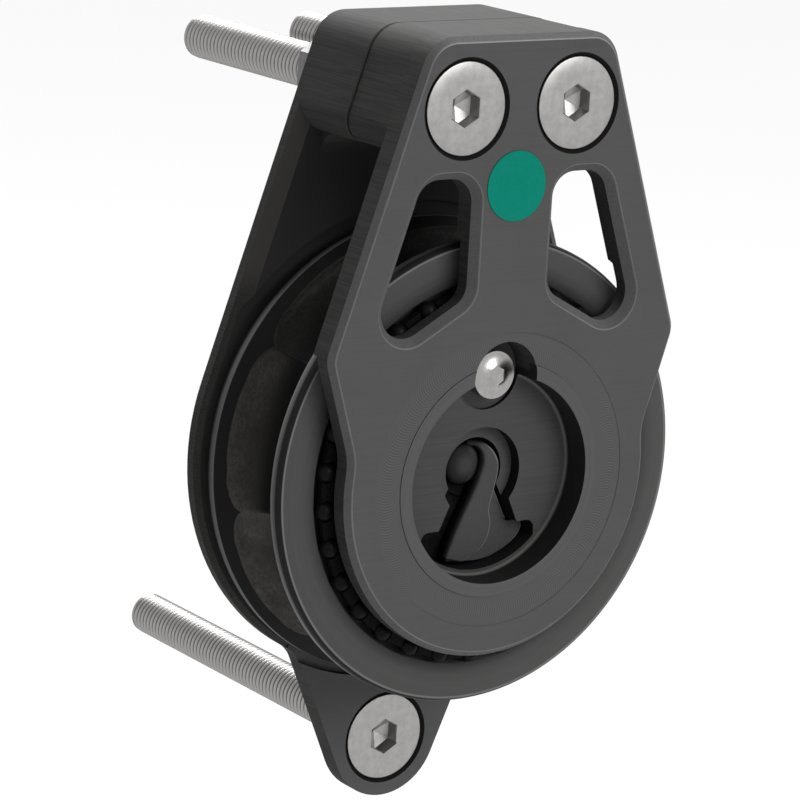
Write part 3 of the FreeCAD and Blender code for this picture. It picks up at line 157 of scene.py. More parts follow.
# %% Start a finish
class Finish:
    """A material with one Principled shader, and the wires that its pattern starts from."""

    def __init__(self, name, roughness, metallic=0.0, specular=0.2, centre=(0, 0)):
        self.material = bpy.data.materials.new(name)
        self.material.use_nodes = True
        self.tree = self.material.node_tree
        self.shader = self.tree.nodes["Principled BSDF"]
        for socket, value in (("Roughness", roughness), ("Metallic", metallic),
                              ("Specular IOR Level", specular)):
            self.shader.inputs[socket].default_value = value
        start = Wire(self.tree)
        place = start.node("ShaderNodeTexCoord", out="Object")
        self.place = start.node("ShaderNodeVectorMath", {"operation": "SCALE"},
                                {0: place, "Scale": 1 / MM})
        self.x, self.y, self.z = self.split(self.place)
        normal = start.node("ShaderNodeTexCoord", out="Normal")
        self.across, self.facing, self.rising = self.split(normal)
        self.radius = self.distance(centre)
        self.angle = start.math("ARCTAN2", self.z - centre[1], self.x - centre[0])

    def split(self, vector):
        apart = vector.node("ShaderNodeSeparateXYZ", None, {0: vector})
        return [Wire(self.tree, socket) for socket in apart.socket.node.outputs]

    def distance(self, centre):
        """How far a point lies from an axis along Y through a centre."""
        side, up = self.x - centre[0], self.z - centre[1]
        return (side * side + up * up).root()

    def grain(self, x, y, z, detail=2.0, roughness=0.5, vector=None):
        """Noise from 0 to 1, with this many spots a millimetre along each axis."""
        stretched = self.place.node("ShaderNodeVectorMath", {"operation": "MULTIPLY"},
                                    {0: vector or self.place, 1: (x, y, z)})
        return self.place.node("ShaderNodeTexNoise", None, {
            "Vector": stretched, "Scale": 1.0, "Detail": detail, "Roughness": roughness})

    def polar(self):
        """Radius, turn and depth as a vector, for marks that run round an axis."""
        return self.place.node("ShaderNodeCombineXYZ", None,
                               {0: self.radius, 1: self.angle, 2: self.y})

    def mix(self, share, first, second):
        return self.place.node("ShaderNodeMix", {"data_type": "RGBA"},
                               {0: share, 6: first, 7: second}, out=2)

    def colour(self, value):
        value.into(self.shader, "Base Color")

    def rough(self, value):
        value.into(self.shader, "Roughness")

    def relief(self, height):
        """Raise the surface by a height in millimetres."""
        bump = height.node("ShaderNodeBump", None,
                           {"Strength": 1.0, "Distance": MM, "Height": height}, out="Normal")
        bump.into(self.shader, "Normal")


def grey(level, warm=0.0):
    """A nearly neutral colour, a little warm or a little cool."""
    return (level * (1 + warm), level, level * (1 - warm), 1.0)


# %% [markdown]
# The cheeks are milled from plate and hard anodised black. The flat front keeps the fine
# level lines of the fly cutter. The edges that a side cutter ran round keep short marks
# across the thickness, and every face that doesn't face front or back is painted darker, as
# shade. The arris of each bevel is painted a little paler, as a highlight and as a little
# wear of the anodising. The ring round the hub was cut by a small end mill that went once
# round: its overlapping arcs are a wave along the ring, moved back by the outline of the
# cutter. The inner faces, the lower part of the rear bevel and the seats of the screws are
# painted darkest, as shade, and the upper part of the rear bevel is painted paler, as light.

# %% Marks on the cheeks
RING_RADII = (26.0, 32.6)
CUTTER_SHARE = 1.06
CUSP_PITCH = 0.62
RING_DEPTHS = (FRONT_FACE + 0.2, FRONT_FACE + 0.4)

cheek = Finish("black_anodised", roughness=0.52, specular=0.025)
flat = abs(cheek.facing).rise(0.86, 0.97)
bevelled = abs(cheek.facing).within(0.5, 0.86, 0.05)
lines = cheek.grain(0.04, 0.4, 5.5, detail=3.0)
cutter = cheek.grain(2.6, 0.06, 2.6, detail=3.0)
clouds = cheek.grain(0.06, 0.06, 0.06, detail=3.0)

middle_radius = sum(RING_RADII) / 2
half_width = (RING_RADII[1] - RING_RADII[0]) / 2
off_middle = cheek.radius - middle_radius
reach = (half_width * CUTTER_SHARE) ** 2 - off_middle * off_middle
reach = reach.math("MAXIMUM", reach, 0.0).root()
cusps = ((cheek.angle * middle_radius - reach) / CUSP_PITCH).wave()
ring = (cheek.radius.within(RING_RADII[0] + 0.1, RING_RADII[1] - 0.1, 0.08)
        * (1 - cheek.y.rise(*RING_DEPTHS)) * flat)
print("cheek marks:", len(cheek.tree.nodes), "nodes")

# %% [markdown]
# The tones come next, each laid over the one before: faces and ring, the painted shade of
# the inner faces, the sides in painted shade, the bevels in painted light and shade, the arris
# with a painted highlight, a few clouds of wear, and last the painted shade in the seats of
# the screws.

# %% Tones of the cheeks
ARRIS_DEPTHS = (FRONT_FACE + 0.10, FRONT_FACE + 0.34)
BEVEL_DEPTHS = (FRONT_FACE + 2.2, FRONT_FACE + 2.6)
REAR_CHEEK = (-30, -28)
ABOVE_FOOT = (-48, -40)
REAR_BEVEL_LIT_HEIGHTS = (34, 44)
SEAT_EDGE = (11.6, 11.9)

face_tone = cheek.mix(lines.rise(0.3, 0.7), grey(0.086), grey(0.092))
ring_tone = cheek.mix(cusps * (0.5 + clouds * 0.8), grey(0.076), grey(0.112))
# Every face that doesn't face front or back is painted darker, as shade, with the cutter's marks in
# its tone.
shaded_side_tone = cheek.mix(cutter.rise(0.3, 0.7), grey(0.034), grey(0.048, 0.02))
on_front = 1 - cheek.y.rise(*BEVEL_DEPTHS)
# The rear bevel is painted dark below and paler above, as shade and light.
rear_bevel = cheek.mix(cheek.z.rise(*REAR_BEVEL_LIT_HEIGHTS), grey(0.028, 0.04), grey(0.056, 0.04))
bevel_tone = cheek.mix(on_front, rear_bevel, grey(0.104))
bevel_tone = cheek.mix(cutter.rise(0.3, 0.7) * 0.3, bevel_tone, grey(0.06, 0.02))
# The arris of each bevel is painted pale: a painted highlight, and a little wear of the anodising.
arris = (1 - cheek.y.rise(*ARRIS_DEPTHS)) * (1 - flat)
tone = cheek.mix(ring, face_tone, ring_tone)
# The inner face of the rear cheek above the foot is painted darker, as the shade between the
# cheeks.
shaded_inner_face = cheek.y.rise(*REAR_CHEEK) * (1 - cheek.facing.rise(0.2, 0.6))
tone = cheek.mix(shaded_inner_face * cheek.z.rise(*ABOVE_FOOT), tone, grey(0.035))
tone = cheek.mix(flat, shaded_side_tone, tone)
tone = cheek.mix(bevelled, tone, bevel_tone)
tone = cheek.mix(arris, tone, grey(0.20))
tone = cheek.mix(clouds.rise(0.35, 0.75) * 0.15, tone, grey(0.06))
# The walls of the screws' seats are painted nearly black, as the shade round the heads.
to_screw = [cheek.distance(centre) for centre in SCREW_PLACES.values()]
to_top = cheek.x.math("MINIMUM", to_screw[0], to_screw[1])
nearest = cheek.x.math("MINIMUM", to_top, to_screw[2])
shaded_seat = (1 - nearest.rise(*SEAT_EDGE)) * (1 - flat)
tone = cheek.mix(shaded_seat, tone, grey(0.010))
cheek.colour(tone)
cheek.rough(0.46 + lines * 0.08 + (1 - flat) * 0.1)
level_marks = (lines * 0.0015) * flat * (1 - ring)
cheek.relief(level_marks + (cusps * 0.006) * ring + (cutter * 0.012) * (1 - flat))
print("cheek finish:", len(cheek.tree.nodes), "nodes")

# %% [markdown]
# The sheave is turned and then milled. Its flanges are smooth and dark grey. The hollows
# that grip the rope are browner and scratched along the way of the cutter, so they get
# their own tone between the two flanges. Their floors are painted nearly black on the upper
# and forward sides, as the shade of the flange in front and of the cheeks, and a faint
# highlight is painted along their edges.

# %% Where the sheave is cut
FACET_COUNT = 8
FACET_START = math.radians(33.9)
FACET_HEIGHT, FACET_RADIUS = 50.0, 9.5
FLANGE_EDGE = 51.0
RIM_BAND = (11.4, 12.95)

sheave = Finish("grey_anodised", roughness=0.4, specular=0.03)
sector = math.tau / FACET_COUNT
folded = sheave.x.math("PINGPONG", sheave.angle - FACET_START + math.tau, sector / 2)
height = sheave.radius * folded.math("COSINE", folded)
over, beside = height - FACET_HEIGHT, sheave.y - GROOVE_MIDDLE
from_cut = (over * over + beside * beside).root() - FACET_RADIUS
in_facet = 1 - abs(from_cut).rise(0.05, 0.12)
facet_edge_highlight = abs(from_cut).within(0.10, 0.30, 0.06)
print("hollows:", FACET_COUNT, "of", round(math.degrees(sector)), "degrees")

# %% [markdown]
# The flange tone holds the painted highlights on the narrow bands of the rim and the
# painted shade on its shoulder and on the groove's wall, and the groove tone holds the wear
# and the painted shade and highlights of the hollows. The mask of the hollows then chooses
# between the two.

# %% Tones of the sheave
WALL_END = (11.3, 11.5)
SHOULDER_START = (12.9, 13.1)
LIP_START = (14.2, 14.4)
FLOOR_RADII = (41.5, 46.5)

turned = sheave.grain(3.0, 0.2, 0.5, detail=2.0, vector=sheave.polar())
scratches = sheave.grain(0.9, 4.5, 0.9, detail=4.0, roughness=0.7)
stains = sheave.grain(0.16, 0.25, 0.16, detail=4.0, roughness=0.6)
flange_tone = sheave.mix(turned.rise(0.3, 0.7), grey(0.074, 0.01), grey(0.080, 0.01))
aside = abs(beside)
# The band round the rim and a thin line on the lip are painted highlights, and the shoulder and the
# groove's wall are painted dark, as shade.
on_rim = sheave.radius.rise(RIM_RADIUS - 0.12, RIM_RADIUS - 0.04)
band_start = aside.rise(RIM_BAND[0] - 0.05, RIM_BAND[0] + 0.05)
band = on_rim * band_start * (1 - aside.rise(*RIM_BAND))
shoulder = sheave.radius.rise(FLANGE_EDGE, FLANGE_EDGE + 0.1) * aside.rise(*SHOULDER_START)
lip = sheave.radius.within(FLANGE_EDGE - 0.42, FLANGE_EDGE + 0.02, 0.08) * aside.rise(*LIP_START)
wall = (1 - aside.rise(*WALL_END)) * (1 - in_facet)
flange_tone = sheave.mix(wall, flange_tone, grey(0.014))
flange_tone = sheave.mix(shoulder, flange_tone, grey(0.020))
flange_tone = sheave.mix(lip, flange_tone, grey(0.16, 0.01))
flange_tone = sheave.mix(band, flange_tone, grey(0.13, 0.0))
groove_tone = sheave.mix(scratches.rise(0.34, 0.66), grey(0.060, 0.04), grey(0.100, 0.05))
groove_tone = sheave.mix(stains.rise(0.35, 0.7) * 0.55, groove_tone, grey(0.040, 0.04))
groove_tone = sheave.mix(sheave.radius.rise(*FLOOR_RADII), grey(0.030, 0.05), groove_tone)
# The floors of the hollows are painted nearly black on their forward side and on the upper part of
# the wheel, as the shade of the front flange and of the cheeks.
floor_shade = sheave.facing.rise(-0.75, -0.25) * sheave.rising.rise(-0.45, -0.15)
groove_tone = sheave.mix(floor_shade * 0.9, groove_tone, grey(0.004))
groove_tone = sheave.mix(sheave.rising.rise(0.0, 0.35) * 0.7, groove_tone, grey(0.006))
# A faint highlight is painted along the edges of the hollows.
groove_tone = sheave.mix(facet_edge_highlight * 0.3, groove_tone, grey(0.10, 0.06))
sheave.colour(sheave.mix(in_facet, flange_tone, groove_tone))
sheave.rough(0.38 + turned * 0.08 + in_facet * (0.14 + scratches * 0.14))
sheave.relief((turned * 0.002) * (1 - in_facet) + (scratches * 0.012) * in_facet)
print("sheave finish:", len(sheave.tree.nodes), "nodes")

# %% [markdown]
# The cap in the middle of the hub is the same black, cut on a lathe on its rim and milled
# on the floor of its recess. The wall of the recess is painted dark, as shade, with a
# painted highlight on its fillet, and the walls of its window are painted nearly black, as
# shade. The lever in the window is a casting: softer edges, a matt skin and a few rubbed
# spots on its grip. Its sides are painted darker, as shade, its rounded edges on the right
# carry a painted highlight, and deeper in the window it is painted nearly black, as shade.

# %% Black cap
RECESS_RADIUS = 23.0

cap = Finish("black_cap", roughness=0.5, specular=0.04)
cap_flat = abs(cap.facing).rise(0.86, 0.97)
cap_lines = cap.grain(0.06, 0.5, 4.6, detail=3.0)
cap_turned = cap.grain(3.2, 0.3, 0.4, detail=2.0, vector=cap.polar())
on_rim = cap.radius.rise(RECESS_RADIUS - 0.1, RECESS_RADIUS + 0.1)
cap_marks = cap_lines * (1 - on_rim) + cap_turned * on_rim
floor_face = cap.mix(cap_lines.rise(0.3, 0.7), grey(0.062), grey(0.072))
rim_face = cap.mix(cap_turned.rise(0.3, 0.7), grey(0.086), grey(0.098))
cap_face = cap.mix(on_rim, floor_face, rim_face)
# The wall of the recess is painted dark, as shade, and its fillet pale, as a painted highlight.
cap_wall = cap.mix(abs(cap.facing).rise(0.05, 0.8), grey(0.020), grey(0.12, 0.05))
# Inside the window the walls are painted nearly black, as shade.
in_window = 1 - cap.radius.rise(RECESS_RADIUS - 1.4, RECESS_RADIUS - 1.0)
cap_side = cap.mix(in_window, cap_wall, grey(0.012))
cap.colour(cap.mix(cap_flat, cap_side, cap_face))
cap.rough(0.44 + cap_marks * 0.1)
cap.relief((cap_marks * 0.004) * cap_flat)
print("cap finish:", len(cap.tree.nodes), "nodes")

# %% Cast lever
LEVER_SHADE = ((-34.0, -32.9), (-32.8, -31.6))

lever = Finish("black_lever", roughness=0.6, specular=0.06)
skin = lever.grain(2.5, 2.5, 2.5, detail=3.0, roughness=0.6)
rubbed = lever.grain(1.1, 1.1, 1.1, detail=5.0, roughness=0.7)
lever_flat = abs(lever.facing).rise(0.5, 0.97)
lever_face = lever.mix(skin.rise(0.3, 0.7), grey(0.060), grey(0.072))
# The sides of the lever are painted darker than its faces, as shade.
lever_tone = lever.mix(lever_flat, grey(0.030), lever_face)
# A highlight is painted on the rounded edges that face right.
lit_edge = abs(lever.facing).within(0.5, 0.93, 0.06) * lever.across.rise(0.05, 0.25)
lever_tone = lever.mix(lit_edge, lever_tone, grey(0.17))
lever_tone = lever.mix(lever.y.rise(*LEVER_SHADE[0]) * 0.8, lever_tone, grey(0.010))
lever_tone = lever.mix(lever.y.rise(*LEVER_SHADE[1]), lever_tone, grey(0.003))
rubbed_spots = rubbed.rise(0.66, 0.74) * lever_flat * 0.6
lever.colour(lever.mix(rubbed_spots, lever_tone, grey(0.10, 0.02)))
lever.rough(0.55 + skin * 0.12)
lever.relief(skin * 0.012)
print("lever finish:", len(lever.tree.nodes), "nodes")

# %% [markdown]
# Stainless steel shows how it was made: the faces of the screw heads were turned, and then
# brushed by handling. The rings of the lathe go round each screw's own axis, so the finish
# is made once for each centre. Where a screw has a thread, its roots are painted dark, as
# oil and as the shade between the crests, and its upper side is painted a little darker, as
# shade.


# %% Stainless steel
THREADED = (20.5, 104.9)
ROOT_TO_CREST = (4.35, 4.85)


def stainless(name, centre, lathe=0.004, roughness=0.26, thread=None):
    steel = Finish(name, roughness=roughness, metallic=1.0, specular=0.5, centre=centre)
    rings = steel.grain(5.0, 0.3, 1.0, detail=2.0, vector=steel.polar())
    handling = steel.grain(0.5, 0.5, 0.5, detail=4.0, roughness=0.6)
    brushed = steel.grain(0.5, 5.0, 4.0, detail=3.0)
    tone = steel.mix(handling.rise(0.3, 0.7), grey(0.33, 0.025), grey(0.39, 0.02))
    if thread:
        on_thread = steel.y.within(*thread, 0.3)
        # The roots of the thread are painted dark: oil, and the shade between the crests.
        root = steel.mix(steel.radius.rise(*ROOT_TO_CREST), grey(0.03, 0.03), grey(0.34, 0.02))
        tone = steel.mix(on_thread, tone, root)
        # The upper side of the thread is painted a little darker, as shade.
        shaded = steel.rising.rise(0.1, 0.7) * steel.y.rise(2, 6)
        tone = steel.mix(shaded * 0.4, tone, grey(0.03, 0.03))
    steel.colour(tone)
    steel.rough(roughness + handling * 0.12 + rings * 0.05)
    steel.relief(rings * lathe + brushed * 0.002)
    return steel.material


screw_steel = stainless("stainless_screw", (0, 0), thread=THREADED)
lock_steel = stainless("stainless_lock", middle_of("lock_screw"), lathe=0.001, roughness=0.16)
print("steel finishes:", screw_steel.name, lock_steel.name)

# %% [markdown]
# The works inside the hub are hardened tool steel, oiled and a little dark, behind a plate
# painted nearly black, as the shade behind the cap's window. The balls and rollers are black
# acetal, which is almost polished. Their cages are a dull black nylon, and the loose nuts
# that hold the screws for storage are a pale one with a moulded skin.

# %% Tool steel and the plastics
# The cover plate is painted nearly black, as the shade behind the window.
cover = Finish("shade_black_plate", roughness=0.6, specular=0.03)
oil = cover.grain(0.8, 0.8, 0.8, detail=4.0)
cover.colour(cover.mix(oil.rise(0.3, 0.7), grey(0.004), grey(0.009)))
cover.rough(0.5 + oil * 0.2)
cover.relief(oil * 0.004)

works = Finish("tool_steel", roughness=0.34, metallic=1.0, specular=0.5)
works_marks = works.grain(1.6, 0.3, 1.6, detail=4.0, roughness=0.6)
works.colour(works.mix(works_marks.rise(0.3, 0.7), grey(0.20, 0.02), grey(0.30, 0.03)))
works.rough(0.28 + works_marks * 0.16)
works.relief(works_marks * 0.004)

ball = Finish("black_acetal", roughness=0.34, specular=0.06)
ball_haze = ball.grain(1.5, 1.5, 1.5, detail=3.0)
ball.colour(ball.mix(ball_haze, grey(0.002), grey(0.008)))
ball.rough(0.24 + ball_haze * 0.2)
ball.relief(ball_haze * 0.003)

cage = Finish("cage_nylon", roughness=0.55, specular=0.05)
cage_haze = cage.grain(2.0, 2.0, 2.0, detail=4.0)
cage.colour(cage.mix(cage_haze.rise(0.3, 0.7), grey(0.004), grey(0.008)))
cage.rough(0.42 + cage_haze * 0.16)
cage.relief(cage_haze * 0.006)

pale = Finish("pale_nylon", roughness=0.5, specular=0.35)
flow = pale.grain(0.25, 0.8, 0.25, detail=4.0, roughness=0.6)
skin = pale.grain(3.0, 3.0, 3.0, detail=3.0)
pale.colour(pale.mix(flow.rise(0.3, 0.7), grey(0.20, 0.005), grey(0.26, -0.01)))
pale.rough(0.45 + skin * 0.12)
pale.relief(skin * 0.01 + flow * 0.03)
print("inside finishes:", [finish.material.name for finish in (cover, works, ball, cage, pale)])

# %% [markdown]
# A round green mark is stuck on the front face. It is a plain vinyl disc: one strong
# colour, a satin surface with a slight orange peel, and a thin darker edge where the cut
# side of the vinyl shows.

# %% Green vinyl mark
MARK_CENTRE = (-0.5, 64.4)
MARK_RADIUS = 7.6

mark = Finish("green_vinyl", roughness=0.42, specular=0.04, centre=MARK_CENTRE)
peel = mark.grain(1.4, 1.4, 1.4, detail=2.0)
mark_tone = mark.mix(peel.rise(0.25, 0.75), (0.002, 0.205, 0.145, 1), (0.003, 0.222, 0.160, 1))
cut_edge = mark.radius.rise(MARK_RADIUS - 0.12, MARK_RADIUS)
mark.colour(mark.mix(cut_edge, mark_tone, (0.003, 0.10, 0.075, 1)))
mark.rough(0.38 + peel * 0.1)
mark.relief(peel * 0.006)
print("mark finish:", len(mark.tree.nodes), "nodes")

# %% [markdown]
# Each CAD node keeps its mesh and takes one of these finishes. The pins, the springs and
# the small screws share the steel of the mounting screws. The sheave, the lever and the
# mounting screws are missing here, because pieces further down take their places.

# %% Dress the CAD nodes
FINISHES = {
    cheek.material: ("front_cheek", "rear_cheek", "hub_drum"),
    cap.material: ("hub_cap",),
    cover.material: ("cover_plate",),
    works.material: ("selector_cam", "race_ring_front", "race_ring_rear", "ratchet_ring",
                     "pawl_1", "pawl_2"),
    screw_steel: ("pawl_pin_1", "pawl_pin_2", "pawl_spring_1", "pawl_spring_2",
                  "detent_plunger", "dowel_pin_lower", "dowel_pin_upper", "hub_screw_1",
                  "hub_screw_2", "hub_screw_3", "hub_screw_4"),
    lock_steel: ("lock_screw",),
    ball.material: ("front_balls", "rear_balls", "front_rollers", "rear_rollers"),
    cage.material: ("front_ball_cage", "rear_ball_cage", "front_roller_cage",
                    "rear_roller_cage"),
    pale.material: ("retaining_nut_left", "retaining_nut_right", "retaining_nut_foot"),
    mark.material: ("face_sticker",),
}
for finish, names in FINISHES.items():
    for name in names:
        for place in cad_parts[name].material_slots:
            place.material = finish
dressed = sum(len(names) for names in FINISHES.values())
print("dressed", dressed, "nodes of", len(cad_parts))

# %% [markdown]
# The pieces below are meshes of rings of points. Four helpers serve them all: one sets a
# point by radius and turn, one joins two rings, one keeps the hard edges sharp, and the
# last hands the piece to its body, its slot and the CAD node that it stands for.


# %% Helpers for the pieces
def sharpen(mesh, angle=0.45):
    """Smooth shading, with sharp edges where two faces meet at more than an angle."""
    for face in mesh.faces:
        face.smooth = True
    for edge in mesh.edges:
        edge.smooth = len(edge.link_faces) == 2 and edge.calc_face_angle(0.0) < angle


def new_point(mesh, radius, turn, depth, centre=(0, 0)):
    """A point at a radius and a turn about an axis along Y, in millimetres."""
    return mesh.verts.new(((centre[0] + radius * math.cos(turn)) * MM, depth * MM,
                           (centre[1] + radius * math.sin(turn)) * MM))


def join_loops(mesh, first, second, smooth=True):
    """Faces between two closed loops with as many points each."""
    for number in range(len(first)):
        after = (number + 1) % len(first)
        face = mesh.faces.new((first[number], second[number], second[after], first[after]))
        face.smooth = smooth


def add_piece(name, mesh, material, body, node, place=(0, 0, 0)):
    """Turn a mesh into a piece that rides on a body and stands for a CAD node."""
    bmesh.ops.remove_doubles(mesh, verts=mesh.verts, dist=1e-6)
    bmesh.ops.recalc_face_normals(mesh, faces=mesh.faces)
    data = bpy.data.meshes.new(name)
    mesh.to_mesh(data)
    mesh.free()
    data.materials.append(material)
    piece = bpy.data.objects.new(name, data)
    piece.location = place
    bpy.context.scene.collection.objects.link(piece)
    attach(piece, body)
    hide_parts(node)
    print(name, len(data.polygons), "faces")


# %% [markdown]
# The groove of the sheave grips the rope with eight hollows. On the real wheel a
# round-nosed cutter takes eight straight passes across the blank. Seen along the axis, one
# pass leaves a straight floor, so its radius grows by 1 / cos away from its middle. At each
# point the lower of the blank and the pass is what is left, and that gives the pointed
# cusps between two hollows without any boolean.

# %% Shape of the sheave
TURNS = 540
GROOVE_STEPS = 76
BLANK_FLAT, BLANK_RADIUS = 6.5, 46.6
WALL_SLOPE = (RIM_RADIUS - BLANK_RADIUS) / (RIM_BAND[0] - BLANK_FLAT)
SHOULDER = ((12.9, 51.8), (13.5, 51.72), (14.0, 51.5), (14.35, 51.25), (14.5, 51.0))
INSIDE = ((14.5, 47.0), (14.5, 43.05), (12.1, 43.05), (12.1, 35.0))


def groove_radius(beside, turn):
    """The lower of the turned blank and the pass of the cutter."""
    blank = BLANK_RADIUS + max(abs(beside) - BLANK_FLAT, 0.0) * WALL_SLOPE
    if abs(beside) >= FACET_RADIUS:
        return blank
    off = (turn - FACET_START) % sector
    off = min(off, sector - off)
    floor = FACET_HEIGHT - math.sqrt(FACET_RADIUS ** 2 - beside ** 2)
    return min(blank, floor / math.cos(off))


def sheave_outline():
    """Distances from the middle plane and radii; the groove's radii are left open."""
    half = list(SHOULDER) + list(INSIDE)
    groove = [(RIM_BAND[0] * (2 * step / GROOVE_STEPS - 1), None)
              for step in range(GROOVE_STEPS + 1)]
    return [(-beside, radius) for beside, radius in reversed(half)] + groove + half


def faceted_sheave():
    mesh = bmesh.new()
    outline = sheave_outline()
    rings = []
    for number in range(TURNS):
        turn = math.tau * number / TURNS
        ring = []
        for beside, radius in outline:
            radius = groove_radius(beside, turn) if radius is None else radius
            ring.append(new_point(mesh, radius, turn, GROOVE_MIDDLE + beside))
        rings.append(ring)
    for first, second in zip(rings, rings[1:] + rings[:1]):
        join_loops(mesh, first, second)
    sharpen(mesh)
    add_piece("faceted_sheave", mesh, sheave.material, "sheave_unit", "sheave")


faceted_sheave()

# %% [markdown]
# The lever in the cap's window is one casting: a shaft with a domed end, a bar that hooks
# over the shaft and runs down as the grip, and a lower lobe at its side. The bar and the
# lobe each fill the strip between two curves, with a rounded edge and a closed underside,
# so that one function can make both.

# %% Strip between two curves
LEVER_BACK = -31.2


def along(points, share):
    """A point on the smooth curve through the given points."""
    spot = min(share * (len(points) - 1), len(points) - 1.0001)
    number = int(spot)
    before, here, after, last = (Vector(points[min(max(number + step, 0), len(points) - 1)])
                                 for step in (-1, 0, 1, 2))
    part = spot - number
    return 0.5 * (2 * here + (after - before) * part
                  + (2 * before - 5 * here + 4 * after - last) * part ** 2
                  + (3 * here - before - 3 * after + last) * part ** 3)


def strip(mesh, left, right, face_at, edge, steps=72, across=16):
    """A closed solid between two curves, its face at a depth that changes along it."""
    rings = []
    for step in range(steps + 1):
        share = step / steps
        first, last = along(left, share), along(right, share)
        width = (last - first).length
        ring = [(first, LEVER_BACK)]
        for column in range(across + 1):
            part = 0.5 - 0.5 * math.cos(math.pi * column / across)
            inset = max(edge - min(part, 1 - part) * width, 0.0)
            drop = edge - math.sqrt(max(edge ** 2 - inset ** 2, 0.0))
            ring.append((first.lerp(last, part), min(face_at(share) + drop, LEVER_BACK - 0.05)))
        ring.append((last, LEVER_BACK))
        rings.append([mesh.verts.new((spot.x * MM, depth * MM, spot.y * MM))
                      for spot, depth in ring])
    for first, second in zip(rings, rings[1:]):
        join_loops(mesh, first, second)
    mesh.faces.new(rings[0])
    mesh.faces.new(rings[-1])


def turned_part(mesh, centre, outline, sides=72):
    """A solid of revolution about an axis along Y; its outline starts and ends on the axis."""
    rings = [[new_point(mesh, radius, math.tau * side / sides, depth, centre)
              for side in range(sides)] for radius, depth in outline[1:-1]]
    for first, second in zip(rings, rings[1:]):
        join_loops(mesh, first, second)
    for ring, depth in ((rings[0], outline[0][1]), (rings[-1], outline[-1][1])):
        tip = mesh.verts.new((centre[0] * MM, depth * MM, centre[1] * MM))
        for side in range(sides):
            mesh.faces.new((tip, ring[side], ring[(side + 1) % sides]))


# %% Selector lever
BAR_LEFT = ((-0.9, 4.8), (1.0, 4.9), (2.2, 3.6), (2.2, 1.4), (1.6, -0.8), (0.8, -3.0), (-0.8, -6.4),
            (-2.8, -10.3), (-4.8, -14.6), (-6.6, -19.2))
BAR_RIGHT = ((-0.9, 6.4), (2.6, 5.9), (5.2, 4.0), (6.5, 1.2), (6.5, -1.6), (5.8, -4.8), (4.8, -9.4),
             (5.4, -13.1), (3.6, -17.6), (-1.7, -20.5))
LOBE_LEFT = ((2.4, -3.4), (1.4, -5.0), (0.6, -7.0), (-0.2, -9.0), (-1.0, -11.0), (-2.0, -13.0),
             (-3.0, -15.0), (-4.0, -17.0), (-5.0, -18.6), (-6.0, -19.8))
LOBE_RIGHT = ((5.4, -3.7), (7.2, -7.2), (9.9, -12.3), (11.2, -12.7), (13.7, -12.8), (14.0, -14.6),
              (12.6, -16.8), (8.8, -19.1), (3.4, -20.7), (-5.6, -20.2))
SHAFT = ((0, -30.8), (5.6, -30.8), (6.2, -31.2), (6.6, -31.2), (6.8, -31.0), (6.9, -30.6),
         (6.9, -27.1), (4.0, -27.1), (4.0, -13.3), (3.7, -13.0), (0, -13.0))
DOME_CENTRE = (-1.6, 0.9)
LOBE_FACE = -33.9
BAR_FACE = (-32.2, -34.8)
DOME = ((0, -33.5), (1.2, -33.45), (2.4, -33.2), (3.5, -32.75), (4.3, -32.15), (4.8, -31.4),
        (4.9, -30.5), (0, -30.5))


def bar_face(share):
    """The bar rises out of the shaft over the first third of its length."""
    return BAR_FACE[0] + (BAR_FACE[1] - BAR_FACE[0]) * min(share / 0.32, 1.0) ** 0.7


def selector_lever():
    mesh = bmesh.new()
    strip(mesh, LOBE_LEFT, LOBE_RIGHT, lambda share: LOBE_FACE, edge=0.35)
    strip(mesh, BAR_LEFT, BAR_RIGHT, bar_face, edge=0.9)
    turned_part(mesh, (0, 0), SHAFT)
    turned_part(mesh, DOME_CENTRE, DOME)
    sharpen(mesh, 0.6)
    add_piece("cast_lever", mesh, lever.material, "selector", "selector_lever")


selector_lever()

# %% [markdown]
# The mounting screws are long M10 countersunk screws. The CAD solid has a plain shank, and
# here the thread is cut for real, because its bright crests and dark roots are what the
# eye finds first. A thread is a helix, so each ring of points is a turn of it: the ring
# climbs by one pitch as it goes round, and four rings make one crest and root.

# %% The shape of a mounting screw
HEAD_RADIUS = 10.0
HEAD_LAND = 0.5
THREAD_RADIUS = 5.0
THREAD_PITCH = 1.5
THREAD_HEIGHT = 0.8
RINGS_A_TURN = 4
NECK_RADIUS = 4.8
TIP_ROUND = 1.2
SOCKET_FLATS = 6.9
SOCKET_DEPTH = 3.6
SOCKET_TIP = 0.9
NUT_REAR = 8.05
SIDES = 48


def hexagon_radius(turn, flats):
    """Distance from the middle to the outline of a hexagon that stands on a point."""
    sixth = math.tau / 6
    lean = (turn - math.pi / 2) % sixth - sixth / 2
    return flats / 2 / math.cos(lean)


def round_ring(mesh, radius_at, height_at):
    """A ring of points; its radius and height may change round it."""
    ring = []
    for number in range(SIDES):
        turn = math.tau * number / SIDES
        ring.append(new_point(mesh, radius_at(turn), turn, height_at(turn)))
    return ring


